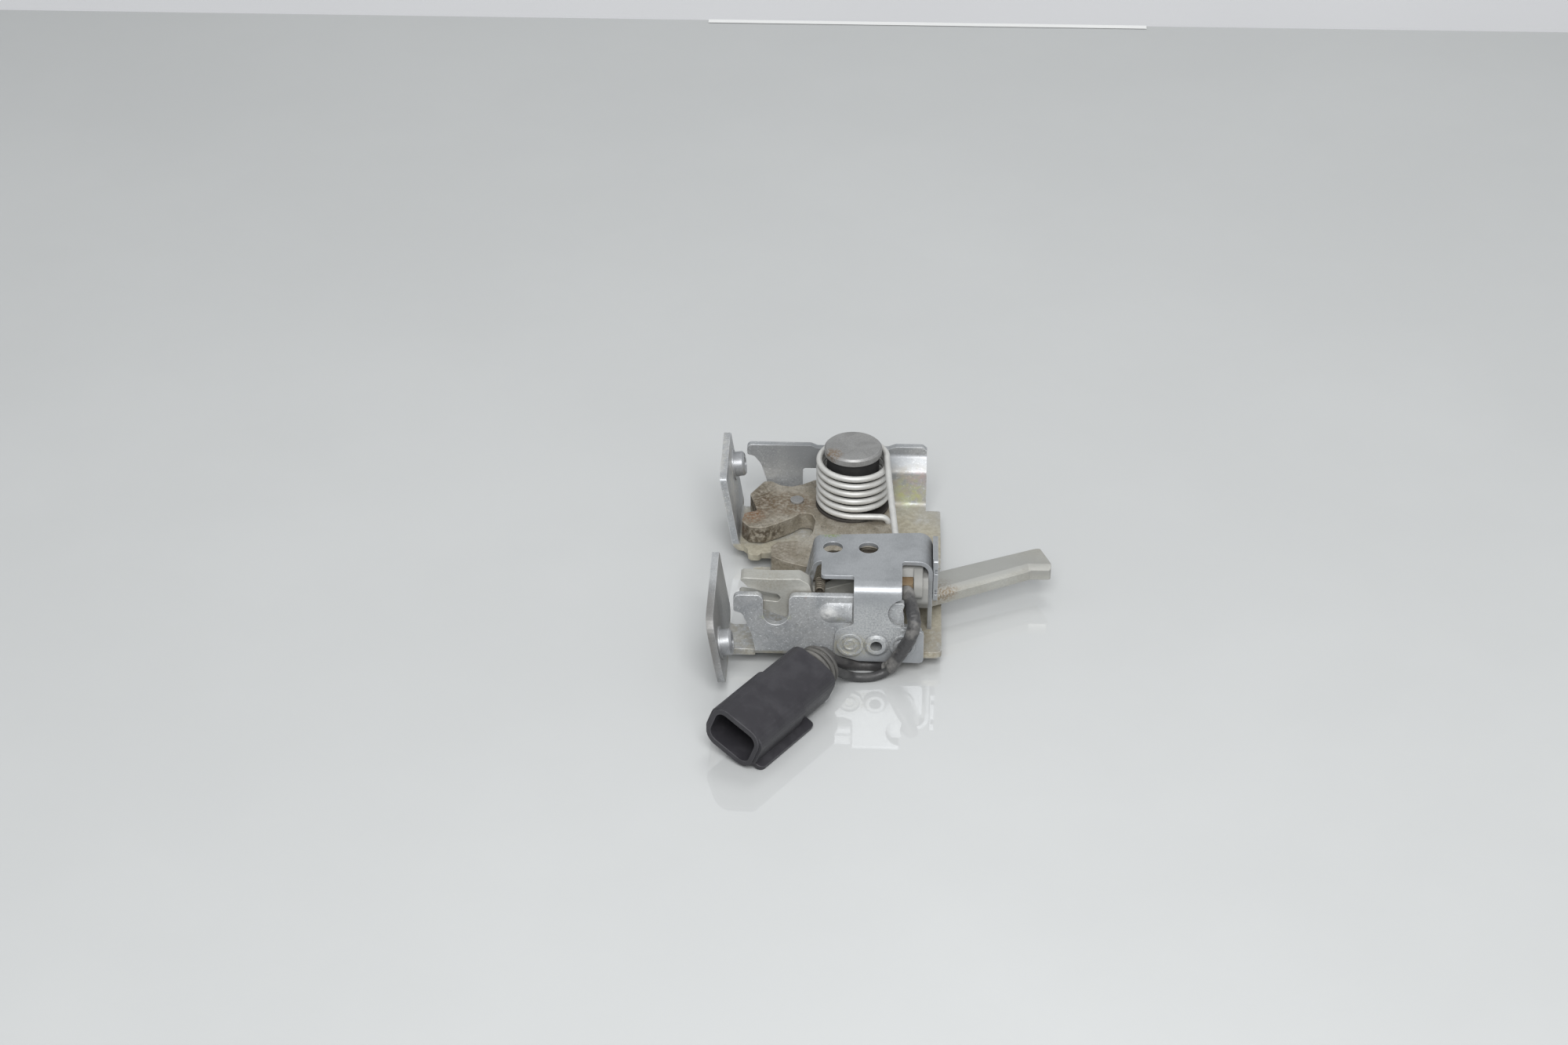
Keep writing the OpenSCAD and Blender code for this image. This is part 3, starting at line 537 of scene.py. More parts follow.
SHEET = Metal(
    "passivated_sheet", (188, 190, 191), (167, 170, 173), (88, 82, 68), metallic=0.45,
    rough=0.42, cloud=60.0, grain=2200.0, stretch=(0.6, 1.0, 1.0), scratch=0.25, edge=0.35,
    edge_light=0.9, grime_and_shade=0.55, sparkle=0.6, pits=0.22,
    spots=(
        Spot((20.0, -50.0, 6.4), (64.0, 80.0, 2.4), (186, 181, 164), 1.0, 30.0, 0.2),
        Spot((20.0, -50.0, 6.4), (64.0, 80.0, 2.4), (158, 152, 136), 0.6, 500.0, 0.2),
        Spot((57.0, -92.0, 5.0), (6.0, 14.0, 6.0), (158, 148, 128), 0.6, 700.0),
        Spot((48.0, 3.0, 15.0), (14.0, 6.0, 9.0), (188, 180, 164), 0.7, 260.0),
        Spot((50.0, 3.0, 14.0), (6.0, 5.0, 6.0), (198, 203, 140), 0.65, 300.0),
        Spot((53.0, 1.0, 20.0), (4.0, 4.0, 4.0), (206, 176, 184), 0.4, 500.0),
        # darkens the front-left flange evenly
        Spot((-26.0, -112.0, 20.0), (8.0, 20.0, 22.0), (120, 117, 113), 0.8, 0.0, 0.4),
        # painted light brightening the inner face of the back-left flange
        Spot((-26.0, -8.0, 24.0), (8.0, 24.0, 16.0), (218, 216, 208), 0.8, 400.0, 0.3),
        # painted highlight on the pressed pillow of the front wall
        Spot((18.5, -104.5, 25.5), (5.0, 3.0, 4.6), (250, 250, 248), 0.95, 120.0),
        Spot((11.5, -103.0, 32.4), (0.9, 1.6, 0.9), (186, 104, 36), 0.9, 2500.0),
        Spot((0.5, -102.0, 23.5), (5.0, 2.5, 1.3), (190, 200, 104), 0.7),
        Spot((24.0, -104.0, 22.0), (3.0, 2.0, 3.0), (150, 146, 92), 0.7),
        Spot((14.0, -104.0, 14.0), (10.0, 2.0, 6.0), (188, 190, 190), 0.5, 1500.0),
        # painted shade on the back wall behind the claw spring
        Spot((20.0, 6.0, 30.0), (27.0, 6.0, 17.0), (134, 137, 140), 0.85, 0.0, 0.4),
    ))
CLAW_STEEL = Metal(
    "worn_claw_steel", (164, 158, 146), (144, 137, 123), (58, 46, 34), rough=0.5,
    cloud=190.0, grain=1800.0, scratch=0.4, edge=0.4, edge_light=0.6, grime_and_shade=0.6,
    bump=0.3, sparkle=0.2, pits=0.55,
    spots=(
        Spot((-9.0, -26.0, 11.0), (11.0, 7.0, 4.0), (78, 68, 54), 0.9, 600.0),
        Spot((-8.0, -8.0, 12.0), (6.0, 14.0, 5.0), (84, 72, 56), 0.9, 600.0),
        Spot((-12.0, -19.0, 12.5), (6.0, 6.0, 4.0), (122, 78, 38), 0.8, 1100.0),
        Spot((2.0, -10.0, 15.2), (11.0, 8.0, 2.0), (96, 76, 52), 0.7),
        Spot((0.0, -44.0, 13.0), (9.0, 8.0, 4.0), (104, 94, 78), 0.6),
        Spot((13.0, -33.0, 15.0), (6.0, 6.0, 2.0), (164, 163, 156), 0.6, 1200.0),
    ))
LEVER_METAL = Metal(
    "lever_metal", (178, 178, 172), (167, 166, 159), (104, 84, 58), rough=0.42, cloud=60.0,
    grain=2400.0, stretch=(0.3, 1.0, 1.0), scratch=0.16, edge=0.35,
    edge_light=0.6, grime_and_shade=0.45, pits=0.15,
    spots=(
        Spot((62.0, -69.0, 15.0), (6.0, 6.0, 4.0), (128, 104, 70), 0.75, 1200.0),
        # painted shade darkening the lever's top face evenly
        Spot((82.0, -60.0, 16.6), (26.0, 18.0, 1.6), (160, 161, 158), 0.8, 0.0, 0.4),
        # painted shade dimming the highlight on the lever tip's facet
        Spot((100.0, -52.4, 15.0), (6.0, 3.2, 3.0), (160, 160, 156), 0.8, 0.0),
        Spot((-2.0, -96.0, 36.0), (7.0, 4.0, 3.0), (148, 142, 126), 0.45, 1200.0),
    ))
PIN_STEEL = Metal(
    "pin_steel", (157, 157, 156), (146, 146, 145), (92, 84, 72), metallic=0.45,
    cloud=150.0, grain=2600.0, scratch=0.3, edge_light=0.7, pits=0.1,
    spots=(Spot((19.5, -15.0, 41.5), (3.5, 3.5, 3.0), (126, 100, 66), 0.7),))
DARK_STEEL = Metal(
    "dark_washer", (78, 75, 72), (62, 59, 57), (34, 30, 26), metallic=0.4, rough=0.5)
SPRING_WIRE = Metal(
    "plated_wire", (212, 212, 209), (202, 202, 199), (124, 120, 112), rough=0.48,
    cloud=160.0, grain=3200.0, scratch=0.12, edge=0.05, edge_light=0.0, bump=0.05)
NUT_ZINC = Metal(
    "nut_zinc", (180, 182, 184), (166, 168, 171), (104, 100, 92), metallic=0.6, rough=0.32,
    cloud=160.0, grain=2600.0, scratch=0.2, edge=0.2, edge_light=0.8)
GRIMY_STEEL = Metal(
    "grimy_steel", (94, 89, 80), (72, 66, 57), (36, 30, 24), rough=0.5,
    cloud=300.0, grain=2600.0, scratch=0.5, edge=0.2, edge_light=0.4, grime_and_shade=0.8, pits=0.6)
GRIMY_WIRE = Metal(
    "grimy_wire", (124, 118, 106), (92, 86, 76), (48, 42, 34), rough=0.5,
    cloud=300.0, grain=3200.0, scratch=0.4, edge=0.05, edge_light=0.0, grime_and_shade=0.8, bump=0.2)
CONTACT = Metal(
    "tinned_contact", (214, 212, 204), (196, 194, 188), (120, 116, 108), metallic=0.8,
    rough=0.25, edge=0.1)
SPOOL_PLASTIC = Moulded("spool_plastic", (38, 38, 38), (70, 68, 66), rough=0.55,
                        specular=0.3)
SWITCH_PLASTIC = Moulded("switch_plastic", (144, 144, 141), (164, 163, 158), dust_and_sheen=0.4)
RESIN = Moulded("potting_resin", (112, 92, 68), (140, 124, 98), rough=0.35, dust_and_sheen=0.5,
                edge=0.6)
PLUG_PLASTIC = Moulded("plug_plastic", (47, 46, 50), (100, 100, 104), rough=0.4, wear=0.55,
                       dust_and_sheen=0.12, edge=0.5, bump=0.06, specular=0.45)
# the tape's pale worn colour in broad streaks is painted sheen as well as dust
TAPE = Moulded("cloth_tape", (62, 62, 63), (154, 152, 148), rough=0.3, wear=0.5, dust_and_sheen=0.6,
               edge=0.2, bump=0.3, grain=4200.0)
WIRE_BLACK = Moulded("black_wire", (58, 57, 58), (120, 118, 114), rough=0.4, wear=0.0,
                     dust_and_sheen=0.3, edge=0.1)
WIRE_GREY = Moulded("grey_wire", (56, 56, 57), (108, 108, 106), rough=0.42, wear=0.0,
                    dust_and_sheen=0.3, edge=0.1)
SEAL_RUBBER = Moulded("seal_rubber", (76, 75, 73), (140, 138, 133), wear=0.7, dust_and_sheen=0.4,
                      bump=0.2)

NODE_FINISHES: dict[str, Finish] = {
    "base_plate": SHEET, "back_clinch_nut": NUT_ZINC, "front_clinch_nut": NUT_ZINC,
    "pivot_pin": PIN_STEEL, "pivot_collar": PIN_STEEL, "pivot_washer": DARK_STEEL,
    "spring_spool": SPOOL_PLASTIC, "claw": CLAW_STEEL, "claw_rivet": PIN_STEEL,
    "cover": ZINC, "clinch_button_left": ZINC, "clinch_button_right": ZINC,
    "hollow_rivet": ZINC, "release_lever": LEVER_METAL, "cable_hook": LEVER_METAL,
    "pawl": CLAW_STEEL, "lever_pin": GRIMY_STEEL, "spring_post": GRIMY_STEEL,
    "switch_body": SWITCH_PLASTIC, "switch_plunger": SPOOL_PLASTIC,
    "switch_potting": RESIN, "edge_strip": ZINC, "connector_housing": PLUG_PLASTIC,
    "connector_insert": PLUG_PLASTIC, "contact_pin_left": CONTACT,
    "contact_pin_right": CONTACT,
}


class FinishShelf:
    """Builds each finish once and hands it out."""

    def __init__(self) -> None:
        """Start with no material built."""
        self.made: dict[str, Material] = {}

    def take(self, finish: Finish) -> Material:
        """Hand out a finish's material, built on first use.

        Args:
            finish: The finish.

        Returns:
            Its material.
        """
        if finish.name not in self.made:
            self.made[finish.name] = finish.build()
        return self.made[finish.name]

    def dress_nodes(self) -> None:
        """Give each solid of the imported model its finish."""
        for node, finish in NODE_FINISHES.items():
            solid = bpy.data.objects[node]
            solid.data.materials.clear()
            solid.data.materials.append(self.take(finish))
            LOG.info("solid %s takes %s", node, finish.name)


# Camera and studio


@dataclass
class PhotoCamera:
    """The camera at the photograph's viewing angle; lens and sensor in millimetres."""

    azimuth: float = 2.0
    elevation: float = 32.7
    distance: float = 1.312
    lens: float = 75.6
    sensor: float = 36.0
    target: Vector = field(default_factory=lambda: DATUM.copy())

    def build(self) -> None:
        """Create the camera and make it the scene's own."""
        data = bpy.data.cameras.new("camera")
        data.lens = self.lens
        data.sensor_width = self.sensor
        camera = put("camera", data)
        turn = math.radians(self.azimuth)
        tilt = math.radians(self.elevation)
        back = Vector((math.sin(turn) * math.cos(tilt), -math.cos(turn) * math.cos(tilt),
                       math.sin(tilt)))
        camera.location = self.target + back * self.distance
        camera.rotation_euler = back.to_track_quat("Z", "Y").to_euler()
        bpy.context.scene.camera = camera


@dataclass(frozen=True)
class LampPlan:
    """A soft square lamp: its place and aim, its side in metres and its power in watts."""

    place: Point
    aim: Point
    side: float
    power: float

    def build(self, name: str) -> Piece:
        """Hang the lamp.

        Args:
            name: Name of the lamp.

        Returns:
            The lamp.
        """
        data = bpy.data.lights.new(name, "AREA")
        data.shape = "SQUARE"
        data.size = self.side
        data.energy = self.power
        lamp = put(name, data)
        lamp.location = self.place
        back = Vector(self.place) - Vector(self.aim)
        lamp.rotation_euler = back.to_track_quat("Z", "Y").to_euler()
        return lamp


@dataclass
class Studio:
    """The pale table, the wall behind it, the lamps and the surrounding light.

    Each span runs from left to right, and all sizes are in metres.
    """

    table_span: Span = (-1.6, 1.6)
    table_front: float = -1.4
    table_back: float = 0.54
    edge_out: float = 0.006
    edge_drop: float = 0.012
    glint_span: Span = (-0.096, 0.132)
    glint_deep: float = 0.004
    glint_high: float = 0.0004
    wall_span: Span = (-2.4, 2.4)
    wall_gap: float = 0.25
    wall_foot: float = -0.5
    wall_line: float = -0.02
    wall_top: float = 1.2
    key: LampPlan = LampPlan((0.05, -1.0, 1.1), (0.0, 0.0, 0.0), 0.8, 18.8)
    back: LampPlan = LampPlan((0.1, 0.5, 1.15), (0.1, 0.6, 0.0), 0.5, 3.2)
    sky: Colour = (0.975, 0.985, 1.0)
    sky_strength: float = 0.55

    def build(self) -> None:
        """Create the table, the wall, the lamps and the world."""
        rim = self.table_back
        far = rim + self.wall_gap
        table = self.panel("table", self.table_span, (self.table_front, 0.0), (rim, 0.0),
                           self.table_finish())
        self.panel("table_edge", self.table_span, (rim, 0.0),
                   (rim + self.edge_out, -self.edge_drop),
                   self.plain("edge_grey", (150, 153, 148)))
        self.panel("table_glint", self.glint_span, (rim - self.glint_deep, self.glint_high),
                   (rim, self.glint_high), self.plain("glint_white", (238, 239, 238)))
        self.panel("low_wall", self.wall_span, (far, self.wall_foot), (far, self.wall_line),
                   self.plain("wall_white", (226, 227, 229)))
        self.panel("wall", self.wall_span, (far, self.wall_line), (far, self.wall_top),
                   self.plain("wall_grey", (158, 160, 161)))
        for name, table_only in (("key", False), ("table_key", True)):
            lamp = self.key.build(name)
            lamp.visible_glossy = not table_only
            self.aim_at_table(lamp, table, table_only)
        self.back.build("back").visible_glossy = False
        world = bpy.data.worlds.new("soft_light")
        world.use_nodes = True
        background = world.node_tree.nodes["Background"].inputs
        background["Color"].default_value = (*self.sky, 1.0)
        background["Strength"].default_value = self.sky_strength
        bpy.context.scene.world = world

    def aim_at_table(self, lamp: Piece, table: Piece, table_only: bool) -> None:
        """Let a lamp light the table alone, or everything but the table.

        Args:
            lamp: The lamp.
            table: The table.
            table_only: Whether the lamp lights the table alone.
        """
        lit = bpy.data.collections.new(lamp.name + "_lights")
        lit.objects.link(table)
        lit.collection_objects[0].light_linking.link_state = (
            "INCLUDE" if table_only else "EXCLUDE")
        lamp.light_linking.receiver_collection = lit

    def panel(self, name: str, span: Span, near: Span, far: Span, finish: Material) -> Piece:
        """Make one flat panel of the stage.

        Args:
            name: Name of the panel.
            span: Its left and right end.
            near: The y and z of its near or lower side.
            far: The y and z of its far or upper side.
            finish: Its material.

        Returns:
            The panel.
        """
        left, right = span
        mesh = bpy.data.meshes.new(name)
        mesh.from_pydata([(left, *near), (right, *near), (right, *far), (left, *far)],
                         [], [(0, 1, 2, 3)])
        mesh.materials.append(finish)
        panel = put(name, mesh)
        return panel

    def plain(self, name: str, colour: Colour) -> Material:
        """Make a matt finish with a faint mottle for the stage.

        Args:
            name: Name of the material.
            colour: Its colour.

        Returns:
            The material.
        """
        graph = Graph(name)
        mottle = graph.ramp(graph.noise(3.0), 0.3, 0.7)
        darker = srgb(*[part * 0.98 for part in colour])
        base = graph.mix(mottle, srgb(*colour), darker)
        graph.feed(graph.shader, Base_Color=base, Roughness=0.8)
        return graph.material

    def table_finish(self) -> Material:
        """Make the table's pale gloss with faint smears.

        Returns:
            The material.
        """
        graph = Graph("table_gloss")
        smear = graph.ramp(graph.noise(5.0, 4.0, 0.6), 0.35, 0.7)
        base = graph.mix(smear, srgb(194, 196, 196), srgb(197, 199, 199))
        gloss = graph.ramp(graph.noise(30.0, 4.0, 0.6), 0.35, 0.7, 0.02, 0.04)
        graph.feed(graph.shader, Base_Color=base, Roughness=gloss, IOR=1.95)
        return graph.material


# Swept pieces


def spline(points: list[Vector], steps: int) -> list[Vector]:
    """Run a smooth line through points, as the part's source does.

    Args:
        points: The points.
        steps: Steps between two of them.

    Returns:
        The points of the line.
    """
    line = []
    last = len(points) - 1
    for i in range(last):
        a, b, c, d = (points[max(i - 1, 0)], points[i], points[i + 1],
                      points[min(i + 2, last)])
        for k in range(steps):
            t = k / steps
            line.append(0.5 * (2 * b + (c - a) * t + (2 * a - 5 * b + 4 * c - d) * t * t
                               + (3 * b - a - 3 * c + d) * t ** 3))
    return line + [points[-1]]


def steps_from(origin: Point, steps: tuple[Point, ...], parts: int) -> list[Point]:
    """Run a smooth line through steps from an origin, with so many parts between two."""
    places = [Vector([at + step for at, step in zip(origin, shift)]) for shift in steps]
    return [tuple(place) for place in spline(places, parts)]


class PieceTree(Nodes):
    """A Geometry Nodes tree that makes a piece with one finish."""

    def __init__(self, name: str, **inputs: str) -> None:
        """Start the tree.

        Args:
            name: Name of the tree.
            inputs: The type of each input beside the geometry.
        """
        super().__init__(bpy.data.node_groups.new(name, "GeometryNodeTree"))
        face = self.tree.interface
        for way in ("INPUT", "OUTPUT"):
            face.new_socket("Geometry", in_out=way, socket_type="NodeSocketGeometry")
        inputs["Finish"] = "NodeSocketMaterial"
        self.keys = {label: face.new_socket(label, in_out="INPUT", socket_type=kind).identifier
                     for label, kind in inputs.items()}
        self.given = self.add("NodeGroupInput").outputs

    def circle(self, sides: object, radius: str) -> Socket:
        """Return a circle whose radius is the input of that name."""
        return self.add("GeometryNodeCurvePrimitiveCircle", Resolution=sides,
                        Radius=self.given[radius]).outputs["Curve"]

    def end(self, shape: Socket) -> None:
        """Smooth the shape, give it its finish and hand it out.

        Args:
            shape: The shape.
        """
        real = self.add("GeometryNodeRealizeInstances", Geometry=shape)
        smooth = self.add("GeometryNodeSetShadeSmooth", Geometry=real.outputs[0])
        paint = self.add("GeometryNodeSetMaterial", Geometry=smooth.outputs[0],
                         Material=self.given["Finish"])
        self.add("NodeGroupOutput", Geometry=paint.outputs[0])

    def grow(self, data: bpy.types.ID, **values: object) -> bpy.types.Mesh:
        """Run the tree and keep what it makes as a plain mesh.

        Args:
            data: The line or mesh that it runs on.
            values: The tree's inputs by name.

        Returns:
            The mesh.
        """
        holder = put(data.name, data)
        live = holder.modifiers.new("grow", "NODES")
        live.node_group = self.tree
        for label, value in values.items():
            live[self.keys[label]] = value
        bpy.context.view_layer.update()
        ready = holder.evaluated_get(bpy.context.evaluated_depsgraph_get())
        mesh = bpy.data.meshes.new_from_object(ready)
        bpy.data.objects.remove(holder)
        return mesh


class WireTree(PieceTree):
    """Turns a line into a round wire, plain or wrapped with tape."""

    # the noise of the tape's wrinkles: cells to the metre, and the value that stays in place
    WRINKLE_CELLS = 420.0
    WRINKLE_LEVEL = 0.55

    def __init__(self, wrapped: bool) -> None:
        """Build the tree.

        Args:
            wrapped: Whether the wire is wrapped with tape, with ridges and wrinkles.
        """
        super().__init__("taped_wire" if wrapped else "round_wire", Radius="NodeSocketFloat",
                         Sides="NodeSocketInt", Ridge="NodeSocketFloat")
        section = self.circle(self.given["Sides"], "Radius")
        shape = self.add("GeometryNodeCurveToMesh", Curve=self.given["Geometry"],
                         Profile_Curve=section, Fill_Caps=True).outputs["Mesh"]
        self.end(self.wrap(shape) if wrapped else shape)

    def wrap(self, shape: Socket) -> Socket:
        """Push the surface out and in where the tape laps and wrinkles.

        Args:
            shape: The swept mesh.

        Returns:
            The wrapped mesh.
        """
        noise = self.add("ShaderNodeTexNoise", Scale=self.WRINKLE_CELLS, Detail=3.0)
        centred = self.math("SUBTRACT", noise.outputs["Fac"], self.WRINKLE_LEVEL)
        amount = self.math("MULTIPLY", centred, self.given["Ridge"])
        normal = self.add("GeometryNodeInputNormal").outputs[0]
        push = self.add("ShaderNodeVectorMath", "SCALE", Vector=normal, Scale=amount)
        return self.add("GeometryNodeSetPosition", Geometry=shape,
                        Offset=push.outputs[0]).outputs[0]

    def sweep(self, name: str, line: list[Vector], radius: float, sides: int,
              finish: Material, ridge: float = 0.0) -> Piece:
        """Make a wire along a line as a plain mesh.

        Args:
            name: Name of the piece.
            line: The points of its middle line.
            radius: Its radius, in metres.
            sides: Number of faces around it.
            finish: Its material.
            ridge: Height of the tape's wrinkles, in metres.

        Returns:
            The piece.
        """
        path = bpy.data.curves.new(name + "_path", "CURVE")
        path.dimensions = "3D"
        run = path.splines.new("POLY")
        run.points.add(len(line) - 1)
        for spot, place in zip(run.points, line):
            spot.co = (*place, 1.0)
        mesh = self.grow(path, Radius=radius, Sides=sides, Ridge=ridge, Finish=finish)
        mesh.name = name
        bpy.data.curves.remove(path)
        return put(name, mesh)


class RibTree(PieceTree):
    """Repeats a ring in a row, each a little smaller than the last."""

    def __init__(self, around: int, section: int) -> None:
        """Build the tree.

        Args:
            around: Number of faces around the ring.
            section: Number of faces around its section.
        """
        super().__init__("seal_ribs", Count="NodeSocketInt", Radius="NodeSocketFloat",
                         Thickness="NodeSocketFloat", Step="NodeSocketFloat",
                         Taper="NodeSocketFloat")
        ring = self.add("GeometryNodeCurveToMesh", Curve=self.circle(around, "Radius"),
                        Profile_Curve=self.circle(section, "Thickness"))
        step = self.add("ShaderNodeCombineXYZ", Z=self.given["Step"])
        row = self.add("GeometryNodeMeshLine", Count=self.given["Count"],
                       Offset=step.outputs[0])
        index = self.add("GeometryNodeInputIndex").outputs[0]
        size = self.math("SUBTRACT", 1.0, self.math("MULTIPLY", index, self.given["Taper"]))
        self.end(self.add("GeometryNodeInstanceOnPoints", Points=row.outputs[0],
                          Instance=ring.outputs[0], Scale=size).outputs[0])


@dataclass(frozen=True)
class PlugPlace:
    """Where the plug lies; its own x axis runs from the seal to the mouth."""

    origin: Point = (13.5, -120.4, 11.7)
    turn: float = -123.3
    roll: float = -21.5

    def matrix(self) -> Matrix:
        """Find how the plug's own axes lie in the frame.

        Returns:
            The matrix from the plug's axes to the frame.
        """
        return (Matrix.Translation(from_datum(*self.origin))
                @ Matrix.Rotation(math.radians(self.turn), 4, "Z")
                @ Matrix.Rotation(math.radians(self.roll), 4, "X"))

    def at(self, x: float, y: float, z: float) -> Point:
        """Turn a place on the plug into one from the part's datum, in millimetres."""
        return tuple((self.matrix() @ (Vector((x, y, z)) * MM) - DATUM) / MM)


@dataclass(frozen=True)
class Coil:
    """One spring's piece, the solid that it replaces, its wire and its turns.

    The first turn lies round the point start and begins at the angle begin, in degrees.
    The coil climbs along z, or along y where it lies. Lengths are in millimetres, and points
    from the part's datum.
    """

    name: str
    node: str
    finish: Metal
    mover: Body
    still: Point
    moved: Point
    start: Point
    radius: float
    pitch: float
    turns: float
    wire: float
    steps: int
    sides: int = 12
    begin: float = 0.0
    sense: int = 1
    lies: bool = False

    def line(self) -> list[Point]:
        """Find the coil's middle line.

        Returns:
            Its points.
        """
        x, y, z = self.start
        points = []
        for i in range(int(self.turns * self.steps) + 1):
            turn = math.radians(self.begin + self.sense * 360 * i / self.steps)
            across = self.radius * math.cos(turn)
            aside = self.radius * math.sin(turn)
            climb = self.pitch * i / self.steps
            points.append((x + across, y + climb, z + aside) if self.lies
                          else (x + across, y + aside, z + climb))
        return points


@dataclass
class Springs:
    """The claw spring, the lever's coil and the hook's coil, in millimetres.

    The claw spring's foot is given in steps from the coil's start and its arm in steps
    from the coil's end. Its leg goes down into the claw, leg_deep below claw_top. The
    ends of the hook's coil are given from the part's datum.
    """

    shelf: FinishShelf
    tree: WireTree
    claw_top: float = 15.2
    leg_deep: float = 4.5
    foot: tuple[Point, ...] = ((14.2, 0.0, -3.0), (13.7, 0.0, -1.4), (12.6, 0.0, -0.4),
                               (10.8, 0.0, 0.0), (4.0, 0.0, 0.0))
    arm: tuple[Point, ...] = ((0.0, 0.0, 0.0), (0.15, -4.0, 0.0), (1.6, -26.0, -0.8),
                              (3.4, -50.0, -1.5), (4.2, -62.0, -1.7))
    hook_head: tuple[Point, ...] = ((14.4, -97.6, 31.4), (15.8, -97.6, 31.2),
                                    (17.4, -97.5, 31.4))
    hook_tail: tuple[Point, ...] = ((18.2, -88.4, 32.6), (18.2, -84, 32.3), (17.8, -78, 32))
    claw: Coil = Coil("claw_spring", "torsion_spring", SPRING_WIRE, Body.CLAW,
                      still=(27.3, -8.9, 36.0), moved=(27.3, -8.9, 17.8),
                      start=(27.3, -8.9, 17.545), radius=13.2, pitch=3.4, turns=5.75,
                      wire=2.45, steps=48, sides=20, begin=-90.0, sense=-1)
    lever: Coil = Coil("lever_coil", "lever_spring", GRIMY_WIRE, Body.LEVER,
                       still=(34.2, -76.0, 35.6), moved=(34.2, -76.0, 29.8),
                       start=(34.2, -76.0, 29.8), radius=5.4, pitch=1.25, turns=4.5,
                       wire=1.1, steps=32, begin=200.0)
    hook: Coil = Coil("hook_coil", "hook_spring", GRIMY_WIRE, Body.LEVER,
                      still=(16.6, -85.0, 32.0), moved=(16.6, -97.0, 32.0),
                      start=(16.6, -97.2, 32.6), radius=1.5, pitch=1.3, turns=6.0,
                      wire=0.8, steps=28, lies=True)

    def build(self) -> None:
        """Make the three springs."""
        for coil, line in ((self.claw, self.claw_line()), (self.lever, self.lever.line()),
                           (self.hook, self.hook_line())):
            places = [from_datum(*point) for point in line]
            piece = self.tree.sweep(coil.name, places, coil.wire / 2 * MM, coil.sides,
                                    self.shelf.take(coil.finish))
            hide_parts(coil.node)
            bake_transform(piece)
            LOG.info("spring %s: %d faces", coil.name, len(piece.data.polygons))

    def claw_line(self) -> list[Point]:
        """Find the claw spring's middle line: foot, coil and long arm.

        Returns:
            The points, in millimetres from the datum.
        """
        x, y, z = self.claw.start
        coil = self.claw.line()
        foot = steps_from((x, y - self.claw.radius, z), self.foot, 5)
        leg = (*foot[0][:2], self.claw_top - self.leg_deep)
        return [leg] + foot + coil + steps_from(coil[-1], self.arm, 6)[1:]

    def hook_line(self) -> list[Point]:
        """Find the middle line of the small coil behind the cable hook, with its ends."""
        return [*self.hook_head, *self.hook.line(), *self.hook_tail]


@dataclass(frozen=True)
class Cord:
    """One cord's piece, the solid that it replaces and its line, in millimetres.

    The points are from the part's datum, those of the end on the plug's own axes. Ridge
    is the height of the tape's wrinkles.
    """

    name: str
    node: str
    slot: str
    finish: Moulded
    radius: float
    points: tuple[Point, ...]
    end: tuple[Point, ...] = ()
    ridge: float = 0.0
    steps: int = 10
    sides: int = 24


@dataclass
class Lead:
    """The taped cable and its two wires, from the switch to the plug's seal."""

    shelf: FinishShelf
    plug: PlugPlace = PlugPlace()
    black: Cord = Cord(
        "black_lead", "wire_black", "black_rubber", WIRE_BLACK, 2.0,
        ((42, -103.6, 3.9), (39, -101.5, 2.5), (36, -100.4, 2.1), (32, -100.3, 2.1),
         (28.6, -101.6, 3.2), (25.4, -105, 6), (22.4, -107.4, 9.2)),
        ((-10.5, -2.8, 2.4), (-6, -2.2, 1.6)))
    grey: Cord = Cord(
        "grey_lead", "wire_grey", "grey_rubber", WIRE_GREY, 1.75,
        ((46.2, -106.5, 11.2), (44.6, -106.2, 8.3), (42.9, -105.8, 5.2), (41.2, -106, 3.2),
         (39, -106.7, 2.3), (36, -107.6, 1.9), (32.4, -108, 1.85), (29, -108.4, 2.5),
         (26, -110.4, 4.8), (23.4, -112.4, 7.4)),
        ((-9.5, 2.8, -1), (-6, 2.6, -1)))
    sleeve: Cord = Cord(
        "taped_sleeve", "cable_sleeve", "black_rubber", TAPE, 2.5,
        ((48.5, -91, 30.2), (49.6, -96, 29), (50.8, -101, 27), (51.5, -105.6, 24),
         (50.1, -106.6, 19), (47.4, -106.8, 13.5), (44.8, -106.2, 8.5), (42.6, -105, 4.4),
         (41, -104.2, 3.6)),
        ridge=0.9, steps=24, sides=40)

    def build(self, plain: WireTree, taped: WireTree, on_end: list[object]) -> None:
        """Args:
            plain: The tree for plain wires.
            taped: The tree for taped wires.
            on_end: The pieces of the plug that the wires end in; not used.
        """
        for cord in (self.black, self.grey, self.sleeve):
            points = cord.points + tuple(self.plug.at(*point) for point in cord.end)
            line = spline([from_datum(*point) for point in points], cord.steps)
            piece = (taped if cord.ridge else plain).sweep(
                cord.name, line, cord.radius * MM, cord.sides, self.shelf.take(cord.finish),
                cord.ridge * MM)
            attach(piece, Body.HOUSING.value)
            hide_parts(cord.node)


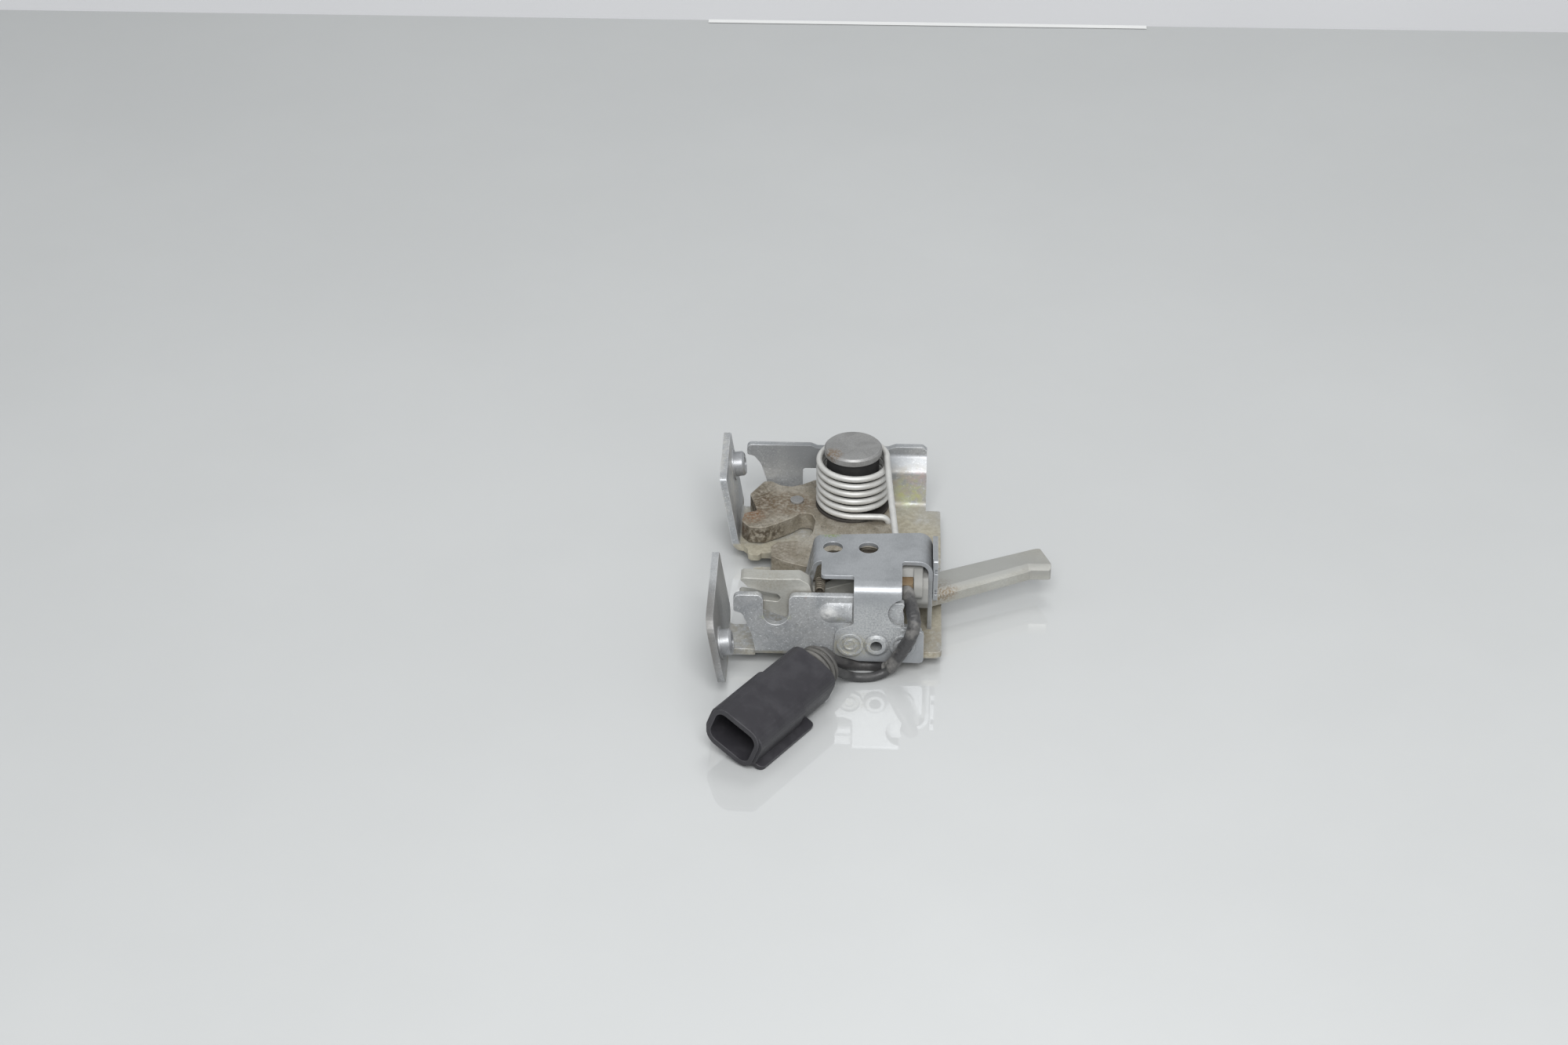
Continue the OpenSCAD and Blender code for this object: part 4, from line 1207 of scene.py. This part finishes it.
@dataclass
class PlugSeal:
    """The ribbed rubber seal at the plug's rear end, in millimetres.

    The core's outline is a row of places along the plug and radii.
    """

    shelf: FinishShelf
    plug: PlugPlace = PlugPlace()
    ribs: int = 3
    rib_place: float = -1.4
    rib_radius: float = 8.35
    rib_wire: float = 0.8
    rib_step: float = 2.5
    taper: float = 0.043
    sides: int = 72
    rib_sides: int = 14
    core: tuple[Span, ...] = (
        (9.0, 0.0), (9.0, 5.6), (8.6, 6.1), (0.3, 6.1), (0.0, 7.5), (-6.9, 7.35),
        (-7.5, 7.15), (-7.8, 6.7), (-7.6, 5.9), (-7.1, 5.6), (-7.1, 0.0))

    def build(self) -> Piece:
        """Make the seal's core and ribs as one piece.

        Returns:
            The piece.
        """
        finish = self.shelf.take(SEAL_RUBBER)
        ribs = RibTree(self.sides, self.rib_sides).grow(
            bpy.data.meshes.new("rib_holder"), Count=self.ribs, Radius=self.rib_radius * MM,
            Thickness=self.rib_wire * MM, Step=self.rib_step * MM, Taper=self.taper,
            Finish=finish)
        # the row of ribs runs from the plug towards the wires
        turned = Matrix.Rotation(math.radians(-90), 4, "Y")
        ribs.transform(Matrix.Translation((self.rib_place * MM, 0, 0)) @ turned)
        build = bmesh.new()
        build.from_mesh(ribs)
        self.lathe(build)
        build.transform(self.plug.matrix())
        mesh = bpy.data.meshes.new("plug_seal")
        build.to_mesh(mesh)
        build.free()
        mesh.materials.clear()
        mesh.materials.append(finish)
        for face in mesh.polygons:
            face.use_smooth = True
            face.material_index = 0
        piece = put("plug_seal", mesh)
        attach(piece, Body.HOUSING.value)
        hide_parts("connector_boot")
        LOG.info("seal: %d faces", len(mesh.polygons))
        return piece

    def lathe(self, build: bmesh.types.BMesh) -> None:
        """Turn the core's outline about the plug's axis into a closed skin.

        Args:
            build: The mesh that it is added to.
        """
        rings = []
        for along, radius in self.core:
            count = self.sides if radius else 1
            turns = [2 * math.pi * k / self.sides for k in range(count)]
            rings.append([build.verts.new((along * MM, radius * MM * math.cos(turn),
                                           radius * MM * math.sin(turn)))
                          for turn in turns])
        made = []
        for near, far in zip(rings, rings[1:]):
            for k in range(self.sides):
                n = (k + 1) % self.sides
                corners = [near[k % len(near)], near[n % len(near)],
                           far[n % len(far)], far[k % len(far)]]
                made.append(build.faces.new(list(dict.fromkeys(corners))))
        bmesh.ops.recalc_face_normals(build, faces=made)


def main() -> None:
    """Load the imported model, build every piece around it and finish."""
    logging.basicConfig(level=logging.INFO, format="%(message)s")
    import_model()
    PhotoCamera().build()
    shelf = FinishShelf()
    plain = WireTree(wrapped=False)
    taped = WireTree(wrapped=True)
    seal = PlugSeal(shelf).build()
    on_end = [seal, "connector_housing", "connector_insert", "contact_pin_left",
              "contact_pin_right"]
    Lead(shelf).build(plain, taped, on_end)
    Springs(shelf, plain).build()
    shelf.dress_nodes()
    Studio().build()
    scene = bpy.context.scene
    scene.view_settings.view_transform = "Standard"


if __name__ == "__main__":
    main()
